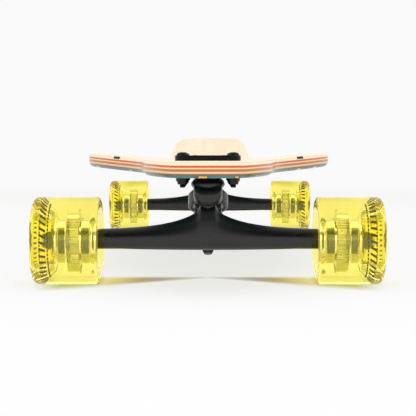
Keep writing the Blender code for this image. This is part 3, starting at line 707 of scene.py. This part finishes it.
def add_shoulder_inlays():
    """A short dark inlay in the upper edge of each shoulder, facing ahead."""
    x = 85 * MM
    length = deck_length()

    def half_width_at(y):
        return deck_half_width(y, y - DECK_LOW.y, length)

    low, high = FRONT_AXLE.y + SHOULDER_START, FRONT_AXLE.y + SHOULDER_END
    while high - low > 0.01 * MM:
        y = (low + high) / 2
        low, high = (y, high) if half_width_at(y) < x else (low, y)
    slant = (half_width_at(low + MM) - half_width_at(low - MM)) / (2 * MM)
    outwards = Vector((1, -slant, 0)).normalized()
    angle = math.radians(62)  # round the edge, from its top
    normal = outwards * math.sin(angle) + Vector((0, 0, math.cos(angle)))
    inset = TOP_EDGE * (1 - math.sin(angle))
    drop = TOP_EDGE * (1 - math.cos(angle))
    centre = Vector((x, low, DECK_TOP + rail_lift(x) - drop)) - outwards * inset
    along = Vector((slant, 1, 0)).normalized()
    along.z = (rail_lift(x + MM) - rail_lift(x)) / MM * along.x
    along.normalize()
    across = normal.cross(along).normalized()
    outline = rounded_rectangle(5.6 * MM, -1.15 * MM, 1.15 * MM, 0.7 * MM)
    for name, mirror in (("left", 1), ("right", -1)):
        mesh = prism(outline, -MM, 0.2 * MM)
        place = Matrix((along, across, normal)).transposed().to_4x4()
        place.translation = centre
        mesh.transform(place)
        mesh.transform(Matrix.Diagonal((mirror, 1, 1, 1)))
        face_outwards(mesh)
        piece(f"shoulder_inlay_{name}", mesh, "ink", "board")


# Castings


def ring_plate():
    """The flat ring round the kingpin and the tongue that ties it to the arms, drawn about the kingpin."""
    outline = [(11 * MM, -23 * MM)]
    for step in range(33):
        angle = TURN / 2 * step / 32
        outline.append((RING_RADIUS * math.cos(angle), RING_RADIUS * math.sin(angle)))
    outline.append((-11 * MM, -23 * MM))
    return moved(prism(outline, -RING_HALF_THICKNESS, RING_HALF_THICKNESS), KINGPIN_LINE)


def arm_section(x):
    """An egg standing on the axle line, fullest low down and taller towards the middle of the hanger."""
    beyond = max(abs(x), ARM_CREST)
    top = 9.3 * MM + 20.5 * MM * math.exp(-beyond / (25 * MM))
    top += 6 * MM * math.exp((ARM_CREST - beyond) / (1.6 * MM))
    bottom = -6.2 * MM - 1.6 * MM * (1 - (x / HANGER_HALF_LENGTH) ** 2)
    fullest = 1.8 * MM
    points = 36
    loop = []
    for step in range(points):
        angle = TURN * step / points
        across = math.copysign(abs(math.cos(angle)) ** 0.9, math.cos(angle))
        reach = top - fullest if math.sin(angle) > 0 else fullest - bottom
        loop.append((x, 7.8 * MM * across, fullest + reach * math.sin(angle)))
    return loop


def make_hanger():
    stations = [HANGER_HALF_LENGTH * (step / 60) ** 1.5 for step in range(61)]
    arms = lofted([arm_section(x) for x in [*(-x for x in reversed(stations[1:])), *stations]])
    neck_low = 12 * MM
    neck_outline = [(0, PIVOT_MOUTH - MM), (5.7 * MM, PIVOT_MOUTH - MM), (6.35 * MM, PIVOT_MOUTH - 4 * MM)]
    neck_outline += [(6.35 * MM, neck_low), (0, neck_low)]
    neck = turned(neck_outline, 40)
    boss = (6.8 * MM, 70 * MM, BOSS_END, 40)
    bosses = [moved(cylinder(*boss), Matrix.Rotation(side * TURN / 4, 4, "Y")) for side in (-1, 1)]
    nose_outline = [(0, PIVOT_MOUTH + 6 * MM), (3.4 * MM, PIVOT_MOUTH + 5.5 * MM)]
    nose_outline += [(5.6 * MM, PIVOT_MOUTH + 3 * MM), (5.6 * MM, PIVOT_MOUTH - 3 * MM)]
    nose_outline.append((0, PIVOT_MOUTH - 3 * MM))
    nose = turned(nose_outline, 40)
    shells = [arms, ring_plate(), moved(neck, STEER_LINE), moved(nose, STEER_LINE), *bosses]
    cuts = [
        moved(cylinder(AXLE_RADIUS + 0.15 * MM, -120 * MM, 120 * MM), AXLE_LINE),
        moved(cylinder(7.5 * MM, -10 * MM, 10 * MM), KINGPIN_LINE),
        moved(cylinder(13.6 * MM, RING_HALF_THICKNESS - 0.2 * MM, 40 * MM, 64), KINGPIN_LINE),
    ]
    return combined(cast(shells, 0.85 * MM, 5), cuts=cuts)


def make_throat():
    """The block that fills the deck's slot, drawn in below the deck and then flared to a round lip."""
    levels = (  # height above the axle and inset, in mm
        (67, 0), (52.8, 0), (52.2, 3.6), (51, 4.2), (49.2, 1.6),
        (47.2, 0.6), (45.8, 0.6), (44.4, 1.8), (43.2, 3.4),
    )
    low, high = THROAT_ENDS
    rings = []
    for height, inset in levels:
        inset *= MM
        half_width = THROAT_HALF_WIDTH - inset
        outline = rounded_rectangle(half_width, low + inset, high - inset, half_width - MM)
        rings.append([(x, y, height * MM) for x, y in outline])
    return lofted(rings)


def make_pivot_housing():
    """The rounded block that holds the pivot cup, drawn along +Z from the cup's mouth."""
    rings = []
    for height, inset in ((0, 0), (7.5, 0), (9.5, 0.5), (11, 1.4), (12.2, 2.8), (13, 5)):
        reach = (11.8 - inset) * MM
        outline = rounded_rectangle(reach, -reach, reach, max(reach - 3.8 * MM, MM))
        rings.append([(x, y, height * MM) for x, y in outline])
    return lofted(rings)


def make_baseplate():
    plate_ends = (PLATE_LOW.y - FRONT_AXLE.y, PLATE_HIGH.y - FRONT_AXLE.y)
    plate_outline = rounded_rectangle(PLATE_HIGH.x, *plate_ends, 9 * MM)
    plate = bevelled(prism(plate_outline, PLATE_BOTTOM, PLATE_TOP), 0.5 * MM, 3)
    to_mouth = STEER_LINE @ at(0, 0, PIVOT_MOUTH)
    housing = moved(make_pivot_housing(), to_mouth)
    seat_edge = SEAT_FACE - 2.5 * MM
    seat_outline = [(0, 28 * MM), (13 * MM, 28 * MM), (17 * MM, 24 * MM), (17 * MM, seat_edge)]
    seat_outline += [(14.5 * MM, seat_edge), (14.5 * MM, SEAT_FACE), (0, SEAT_FACE)]
    seat = moved(turned(seat_outline, 72), KINGPIN_LINE)
    web_outline = rounded_rectangle(9 * MM, -8 * MM, 44 * MM, 5 * MM)
    web = prism(web_outline, THROAT_BOTTOM - 5 * MM, THROAT_BOTTOM + 2 * MM)
    lower = cast([make_throat(), housing, seat, web], 0.75 * MM, 7)

    def pocket():
        return moved(cylinder(8.7 * MM, KINGPIN_HEAD_SEAT, 90 * MM, 64), KINGPIN_LINE)

    holes = bolt_holes(PLATE_BOTTOM - 5 * MM, PLATE_TOP + 5 * MM, Matrix())
    cup_hole = moved(cylinder(8.9 * MM, -20 * MM, 9.3 * MM, 64), to_mouth)
    kingpin_hole = moved(cylinder(KINGPIN_RADIUS + 0.3 * MM, 0, 60 * MM), KINGPIN_LINE)
    plate = combined(plate, cuts=[pocket(), *holes])
    lower = combined(lower, cuts=[cup_hole, kingpin_hole, pocket()])

    def on_plate(centre):
        return centre.z > PLATE_BOTTOM - 0.1 * MM

    return in_two_materials(joined([plate, lower]), "cast", "plate", on_plate)


# Fasteners and steering pieces


def thread(radius, pitch, bottom, top):
    """Outline points of a threaded stretch, from its top to its bottom."""
    count = int((top - bottom) / pitch)
    points = []
    for step in range(count):
        height = top - step * pitch
        points += [(radius, height), (radius - 0.5 * pitch, height - pitch / 2)]
    points.append((radius, top - count * pitch))
    return points


def hexagon(corner, bottom, top, chamfer):
    """A hexagonal prism with its corners turned off at both ends."""
    blank = turned([(0, top), (corner, top), (corner, bottom), (0, bottom)], 6)
    flat = corner * math.cos(TURN / 12) * 0.98
    outline = [(0, top), (flat, top), (corner, top - chamfer)]
    outline += [(corner, bottom + chamfer), (flat, bottom), (0, bottom)]
    return combined(blank, keeps=[turned(outline, 64)])


def make_lock_nut(corner, height, hole):
    """A hex nut with a rolled collar, standing up from height 0."""
    body = hexagon(corner, 0, height * 0.62, corner * 0.12)
    collar_low = height * 0.55
    outline = [(0, height), (corner * 0.74, height), (corner * 0.84, collar_low), (0, collar_low)]
    collar = turned(rounded(outline, 0.5 * MM), 48)
    bore = cylinder(hole, -height, 2 * height, 32)
    return bevelled(combined(body, joins=[collar], cuts=[bore]), 0.12 * MM, 2, 40)


def make_mount_bolt(length):
    """A pan-head bolt with a hex socket, height 0 under its head."""
    head, shank = 4.9 * MM, 2.4 * MM
    outline = []
    for step in range(9):
        angle = TURN / 4 * step / 9
        outline.append((head * math.sin(angle), 2.75 * MM * math.cos(angle) ** 0.8))
    outline += [(head, 0.3 * MM), (head - 0.05 * MM, 0), (shank, 0), (shank, -length * 0.45)]
    outline += thread(shank, 0.8 * MM, -length + 0.6 * MM, -length * 0.47)
    outline += [(shank - 0.7 * MM, -length), (0, -length)]
    socket = turned([(0, 4 * MM), (1.9 * MM, 4 * MM), (1.9 * MM, 1.2 * MM), (0, 1.2 * MM)], 6)
    return combined(turned(outline, 40), cuts=[socket])


def make_kingpin():
    head_bottom = KINGPIN_HEAD_SEAT + 0.3 * MM
    shank_top = head_bottom + MM
    outline = [(0, shank_top), (KINGPIN_RADIUS, shank_top), (KINGPIN_RADIUS, -12 * MM)]
    outline += thread(KINGPIN_RADIUS, 1.1 * MM, KINGPIN_TIP + 1.8 * MM, -12.2 * MM)
    outline += [(KINGPIN_RADIUS - 1.5 * MM, KINGPIN_TIP), (0, KINGPIN_TIP)]
    head = hexagon(8.1 * MM, head_bottom, head_bottom + 5.5 * MM, 1.0 * MM)
    return combined(turned(outline, 48), joins=[head])


def make_bushing(bottom, top):
    """A barrel, pinched a little below each lip."""
    height = top - bottom
    outer = []
    for step in range(17):
        share = step / 16
        bulge = math.sin(share * TURN / 2) ** 0.7
        outer.append((10.7 * MM + 1.25 * MM * bulge, top - height * share))
    hole, lip = 5.3 * MM, 10.2 * MM
    outline = [(hole, top), (lip, top), *outer[1:-1], (lip, bottom), (hole, bottom)]
    return turned(rounded(outline, 0.5 * MM), 64)


def make_cup_washer(top, thickness, radius, hole, lip):
    """A washer whose rim turns up round the bushing."""
    bottom = top - thickness
    outline = [(hole, top), (radius - lip, top), (radius - 0.4 * MM, top + lip * 0.35), (radius, top)]
    outline += [(radius, top - thickness * 0.5), (radius - 0.6 * MM, bottom), (hole, bottom)]
    return turned(rounded(outline, 0.25 * MM), 64)


def make_cup():
    """The pivot cup: a socket with a lip, open downwards at height 0."""
    outside, lip = 8.6 * MM, -0.8 * MM
    outline = [(0, 9 * MM), (outside, 9 * MM), (outside, -0.2 * MM), (outside - 0.4 * MM, lip)]
    outline += [(6.4 * MM, lip), (6 * MM, 0), (6 * MM, 7 * MM), (0, 7 * MM)]
    return turned(rounded(outline, 0.4 * MM), 64)


def make_axle():
    """A plain shaft with a threaded stretch at each end."""
    edge = 0.8 * MM
    upper = [(0, AXLE_END), (AXLE_RADIUS - edge, AXLE_END), (AXLE_RADIUS, AXLE_END - edge)]
    upper += thread(AXLE_RADIUS, 0.8 * MM, 121 * MM, AXLE_END - 0.9 * MM)
    upper.append((AXLE_RADIUS, 120.7 * MM))
    lower = [(radius, -height) for radius, height in reversed(upper)]
    return moved(turned(upper + lower, 40), AXLE_LINE)


def sides(end, distance):
    """(side name, x in the truck's frame) for the rider's left and right."""
    flip = 1 if end == "front" else -1
    return (("left", flip * distance), ("right", -flip * distance))


def add_truck(end, shapes):
    """All the pieces of one truck but its wheels."""
    truck = TRUCKS[end]
    hanger_body = f"{end}_hanger"
    kingpin = truck @ KINGPIN_LINE

    def add(name, shape, material, slot, place, body="board", replaced=True):
        node = f"{end}_{name}"
        piece(f"{node}_fine", shapes[shape], material, body, node if replaced else None, place)

    add("baseplate", "baseplate", None, "truck_castings", truck)
    add("pivot_cup", "cup", "cup", "pivot_cup", truck @ STEER_LINE @ at(0, 0, PIVOT_MOUTH))
    add("kingpin", "kingpin", "black_steel", "plain_steel", kingpin)
    add("bushing_washer", "washer", "dark_steel", "plain_steel", kingpin)
    add("board_side_washer", "upper_washer", "dark_steel", "plain_steel", kingpin, replaced=False)
    nut_place = kingpin @ at(0, 0, NUT_SEAT) @ UPSIDE_DOWN
    add("kingpin_nut", "kingpin_nut", "dark_steel", "plain_steel", nut_place)
    for row, along in BOLT_ROWS.items():
        for side, x in sides(end, BOLT_X):
            bolt_place = truck @ at(x, along, PLATE_TOP + 0.02 * MM)
            nut_place = truck @ at(x, along, DECK_BOTTOM - 0.05 * MM) @ UPSIDE_DOWN
            add(f"mount_bolt_{row}_{side}", "bolt", "black_steel", "mount_hardware", bolt_place)
            add(f"mount_nut_{row}_{side}", "mount_nut", "black_steel", "mount_hardware", nut_place)
    add("hanger", "hanger", "cast", "truck_castings", truck, hanger_body)
    add("axle", "axle", "zinc", "plain_steel", truck, hanger_body)
    for name, (ring_end, seat_end) in BUSHINGS.items():
        mesh = make_bushing(min(ring_end, seat_end), max(ring_end, seat_end))
        held = kingpin @ Vector((0, 0, seat_end))
        moving = kingpin @ Vector((0, 0, ring_end))
        bend = ("board", hanger_body, held, moving)
        piece(f"{end}_{name}_fine", mesh, "bushing", None, f"{end}_{name}", kingpin, bend)


# Wheels


def rounded_lip(radius):
    """(radius, height) points from the flat face out to the tread, round a corner of this radius."""
    centre_out, centre_up = WHEEL_RADIUS - radius, WHEEL_HALF_WIDTH - radius
    angles = [TURN / 4 * step / 9 for step in range(10)]
    return [
        (centre_out + radius * math.sin(angle), centre_up + radius * math.cos(angle)) for angle in angles
    ]


def make_tyre():
    """A wide tyre with round lips and a deep dish outside, cast round the core."""
    half = WHEEL_HALF_WIDTH
    gap = 0.12 * MM
    hub, band = HUB_RADIUS + gap, CORE_RADIUS + gap
    outline = [(hub, CORE_ENDS[1]), (18 * MM, CORE_ENDS[1] + 2 * MM), *DISH, (30.5 * MM, half)]
    outline += rounded_lip(5 * MM)
    outline += [(radius, -height) for radius, height in reversed(rounded_lip(3 * MM))]
    outline += [(27 * MM, -half), (25 * MM, -half + MM), (20 * MM, -half + 3.5 * MM)]
    outline += [(hub, CORE_ENDS[0]), (hub, BAND[0] - BAND_SLOPE), (band, BAND[0])]
    outline += [(band, BAND[1]), (hub, BAND[1] + BAND_SLOPE)]

    def faces_core(centre):
        return off_axis(centre) < CORE_RADIUS + 0.5 * MM and CORE_ENDS[0] < centre.z < CORE_ENDS[1]

    return in_two_materials(turned(rounded(outline, 0.6 * MM), 96), "tyre", "bore", faces_core)


def make_core():
    """A hub with a bearing seat at each end and a band of ribs round its middle."""
    seat, shoulder = 11.15 * MM, 8.8 * MM
    shoulder_low, shoulder_high = SPACER_START, BEARING_STARTS["outer_bearing"] - BEARING_GAP
    low, high = CORE_ENDS
    outline = [(seat, high), (HUB_RADIUS, high), (HUB_RADIUS, BAND[1] + BAND_SLOPE)]
    outline += [(CORE_RADIUS, BAND[1]), (CORE_RADIUS, BAND[0])]
    outline += [(HUB_RADIUS, BAND[0] - BAND_SLOPE), (HUB_RADIUS, low), (seat, low)]
    outline += [(seat, shoulder_low), (shoulder, shoulder_low)]
    outline += [(shoulder, shoulder_high), (seat, shoulder_high)]
    segments = 240
    mesh = turned(outline, segments)
    for vertex in mesh.vertices:
        radius = off_axis(vertex.co)
        if radius < HUB_RADIUS + MM:
            continue
        step = round(math.atan2(vertex.co.y, vertex.co.x) / TURN * segments) % 4
        if step in (0, 1):
            shrink = 1 - 1.3 * MM / radius
            vertex.co.x *= shrink
            vertex.co.y *= shrink
    return mesh


def make_bearing():
    """Two races with a shield set back between them, on each face."""
    shield_out, shield_in = 9.2 * MM, 6.1 * MM
    recess, slope = 0.35 * MM, 0.2 * MM
    half = [(4.06 * MM, 0), (shield_in - slope, 0), (shield_in, recess)]
    half += [(shield_out, recess), (shield_out + slope, 0), (11 * MM, 0)]
    outline = [(radius, BEARING_WIDTH - height) for radius, height in half] + half[::-1]

    def on_shield(centre):
        recessed = min(centre.z, BEARING_WIDTH - centre.z) > 0.2 * MM
        return recessed and shield_in < off_axis(centre) < shield_out

    return in_two_materials(turned(rounded(outline, 0.25 * MM, steps=2), 64), "painted_shade_steel", "shield", on_shield)


def make_ring(outer, inner, height):
    outline = [(outer, height), (outer, 0), (inner, 0), (inner, height)]
    return turned(rounded(outline, 0.2 * MM), 48)


def make_print():
    """Plain slanted bars and a ring of fine dashes, as thin as ink, set just under the dish's skin."""
    low, high = Vector(DISH[0]), Vector(DISH[1])
    skin = Vector((high.y - low.y, low.x - high.x)).normalized()  # into the urethane
    points = []
    faces = []

    def add_bars(count, start, end, half_angle, slant):
        """start and end are shares of the way up the dish."""
        steps = 4
        for bar in range(count):
            base = len(points)
            for step in range(steps + 1):
                share = start + (end - start) * step / steps
                for width in (-half_angle, half_angle):
                    angle = TURN * bar / count + slant * share + width
                    for sink in (0.1 * MM, 0.18 * MM):
                        radius, height = low.lerp(high, share) + skin * sink
                        points.append((radius * math.cos(angle), radius * math.sin(angle), height))
            for step in range(steps):
                a = base + 4 * step
                b = a + 4
                faces.extend([(a, a + 2, b + 2, b), (a + 1, b + 1, b + 3, a + 3)])
                faces.extend([(a, b, b + 1, a + 1), (a + 2, a + 3, b + 3, b + 2)])
            last = base + 4 * steps
            faces.extend([(base, base + 1, base + 3, base + 2), (last, last + 2, last + 3, last + 1)])

    add_bars(30, 0.28, 0.78, 0.042, 0.16)
    add_bars(44, 0.06, 0.16, 0.05, 0.0)
    mesh = mesh_of(points, faces)
    face_outwards(mesh)
    return mesh


def add_wheel(end, side, direction, shapes):
    """One wheel, its bearings and what holds it on the axle."""
    outwards = Matrix.Rotation(direction * TURN / 4, 4, "Y")
    place = TRUCKS[end] @ at(direction * WHEEL_MIDDLE, 0, 0) @ outwards
    wheel_body = f"{end}_{side}_wheel"
    hanger_body = f"{end}_hanger"

    def add(name, shape, material, slot, body, along=0.0, replaced=True):
        node = f"{end}_{side}_{name}"
        spot = place @ at(0, 0, along)
        piece(f"{node}_fine", shapes[shape], material, body, node if replaced else None, spot)

    add("tyre", "tyre", None, "wheel_urethane", wheel_body)
    add("print", "print", "ink", "wheel_urethane", wheel_body, replaced=False)
    add("wheel_core", "core", "core", "wheel_core", wheel_body)
    for name, start in BEARING_STARTS.items():
        add(name, "bearing", None, "bearings", wheel_body, start)
    add("bearing_spacer", "spacer", "zinc", "plain_steel", hanger_body, SPACER_START)
    for name, start in SPEED_RING_STARTS.items():
        add(name, "speed_ring", "zinc", "plain_steel", hanger_body, start, replaced=False)
    # the axle nut wears the steel with painted green shade, like the bearing races
    add("axle_nut", "axle_nut", "painted_shade_steel", "plain_steel", hanger_body, AXLE_NUT_START)


def build_pieces():
    bolt_length = PLATE_TOP - DECK_BOTTOM + 8.8 * MM
    kingpin_hole = 5.06 * MM
    shapes = {
        "hanger": make_hanger(),
        "baseplate": make_baseplate(),
        "cup": make_cup(),
        "kingpin": make_kingpin(),
        "kingpin_nut": make_lock_nut(8.25 * MM, 7.5 * MM, kingpin_hole),
        "washer": make_cup_washer(WASHER_TOP, 1.3 * MM, 11.5 * MM, kingpin_hole, 1.0 * MM),
        "upper_washer": make_cup_washer(SEAT_FACE - 0.2 * MM, 1.2 * MM, 13.4 * MM, kingpin_hole, 0.0),
        "bolt": make_mount_bolt(bolt_length),
        "mount_nut": make_lock_nut(5.35 * MM, 6.2 * MM, 2.7 * MM),
        "axle": make_axle(),
        "tyre": make_tyre(),
        "print": make_print(),
        "core": make_core(),
        "bearing": make_bearing(),
        "spacer": make_ring(5 * MM, 4.3 * MM, 9.9 * MM),
        "speed_ring": make_ring(5.2 * MM, 4.2 * MM, MM),
        "axle_nut": make_lock_nut(7.5 * MM, 6.5 * MM, 4.3 * MM),
    }
    make_deck()
    add_shoulder_inlays()
    for end in TRUCKS:
        add_truck(end, shapes)
        for side, direction in sides(end, 1):
            add_wheel(end, side, direction, shapes)


# Stage, light and camera


def painted_wheel_light_and_shadow(finish):
    """Painted light and shade: the yellow light and the shadow that the wheels throw on the floor, painted
    into its colour as a band inside each axle.
    """
    tree = finish.tree
    split = finish.node("ShaderNodeSeparateXYZ", {"Vector": finish.place})
    across = math_node(tree, "ABSOLUTE", split.outputs["X"])
    along = math_node(tree, "ABSOLUTE", split.outputs["Y"])
    # painted contact shadow under each wheel, with painted grey shade and yellow light between the wheels
    painted_contact_shadow = (0.62, 0.64, 0.25)
    painted_light_and_shadow_stops = (
        (0.0, (0.85, 0.86, 0.82)), (0.27, (0.50, 0.47, 0.33)), (0.38, (0.52, 0.44, 0.20)),
        (0.47, (0.72, 0.60, 0.24)), (0.58, (0.90, 0.78, 0.34)), (0.62, painted_contact_shadow),
        (0.80, painted_contact_shadow), (0.92, 1.0),
    )
    colour = finish.ramp(math_node(tree, "DIVIDE", across, 0.15), painted_light_and_shadow_stops)
    band_middle = math_node(tree, "MULTIPLY_ADD", across, 0.4, abs(FRONT_AXLE.y) - 0.06)
    from_middle = math_node(tree, "ABSOLUTE", math_node(tree, "SUBTRACT", along, band_middle))
    spread = math_node(tree, "DIVIDE", from_middle, math_node(tree, "ADD", across, 0.012))
    share = finish.ramp(spread, ((0.2, 1.0), (0.5, 0.0)))
    return finish.mix(share, (1.0, 1.0, 1.0), colour)


def add_stage():
    """A pale, flat floor that runs to the horizon and glows more and more with distance."""
    count = 64
    reach = 40.0
    angles = [TURN * step / count for step in range(count)]
    rim = [(reach * math.cos(angle), reach * math.sin(angle), 0) for angle in angles]
    floor = in_scene("floor", mesh_of(rim, [tuple(range(count))]))
    finish = Finish("pale_floor", (0.3, 0.3, 0.3), 0.7, Emission_Strength=1.0, Specular_IOR_Level=0.0)
    in_tens_of_metres = {0: finish.stretched((0.1, 0.1, 0.1))}
    away = finish.node("ShaderNodeVectorMath", in_tens_of_metres, operation="LENGTH").outputs["Value"]
    # the wheels' painted light and shadow darken and tint both the floor's colour and its glow
    wheel_light_and_shadow = painted_wheel_light_and_shadow(finish)
    base = finish.ramp(away, ((0.08, (0.24, 0.25, 0.30)), (0.4, 0.0)))
    finish.set(Base_Color=finish.mix(1.0, base, wheel_light_and_shadow, "MULTIPLY"))
    glow = finish.ramp(away, ((0.08, (0.71, 0.70, 0.65)), (0.4, 0.955)))
    finish.set(Emission_Color=finish.mix(1.0, glow, wheel_light_and_shadow, "MULTIPLY"))
    floor.data.materials.append(finish.material)


def add_area(name, place, target, size, power):
    light = bpy.data.lights.new(name, "AREA")
    light.shape = "RECTANGLE"
    light.size, light.size_y = size
    light.energy = power
    lamp = in_scene(name, light)
    lamp.location = place
    lamp.rotation_euler = (Vector(target) - Vector(place)).to_track_quat("-Z", "Y").to_euler()
    lamp.visible_glossy = False
    lamp.visible_camera = False


def add_light():
    """A bright backdrop round the board, dim only ahead and above, and two soft lamps."""
    world = bpy.data.worlds.new("studio")
    bpy.context.scene.world = world
    world.use_nodes = True
    tree = world.node_tree
    background = tree.nodes["Background"]
    background.inputs["Strength"].default_value = 1.0
    direction = new_node(tree, "ShaderNodeTexCoord").outputs["Generated"]
    x, y, z = new_node(tree, "ShaderNodeSeparateXYZ", {"Vector": direction}).outputs

    def ease(axis, start, end, low, high):
        inputs = {"Value": axis, "From Min": start, "From Max": end, "To Min": low, "To Max": high}
        steps = new_node(tree, "ShaderNodeMapRange", inputs, interpolation_type="SMOOTHSTEP")
        return steps.outputs["Result"]

    dim = 0.02
    beside = ease(math_node(tree, "ABSOLUTE", x), 0.2, 0.55, dim, 1.0)
    ahead = math_node(tree, "MAXIMUM", ease(y, -0.9, 0.05, dim, 1.0), beside)
    lit = math_node(tree, "MAXIMUM", ease(z, 0.1, 0.28, 1.0, dim), ahead)
    shade = math_node(tree, "MULTIPLY", lit, ease(z, 0.3, 0.95, 0.955, 0.6))
    tree.links.new(shade, background.inputs["Color"])
    add_area("overhead", (0, 0.0, 2.2), (0, 0, 0), (2.6, 2.6), 26)
    add_area("front_fill", (0, -2.4, 0.9), (0, 0, 0.1), (2.2, 1.2), 18)


def add_camera():
    """Just ahead of the nose at the height of the deck, looking along the board and slightly down."""
    camera = in_scene("camera", bpy.data.cameras.new("camera"))
    camera.data.sensor_width = 36
    camera.data.lens = 109.7
    camera.data.clip_start = 0.01
    aside, distance, height = 3.3 * MM, 1.042, 0.1031
    camera.location = (aside, FRONT_AXLE.y - distance, height)
    pitch, yaw = math.radians(2.21), math.radians(0.18)
    camera.rotation_euler = (TURN / 4 - pitch, 0, yaw)
    bpy.context.scene.camera = camera


build_pieces()
add_stage()
add_light()
add_camera()
bpy.context.scene.view_settings.view_transform = "Standard"
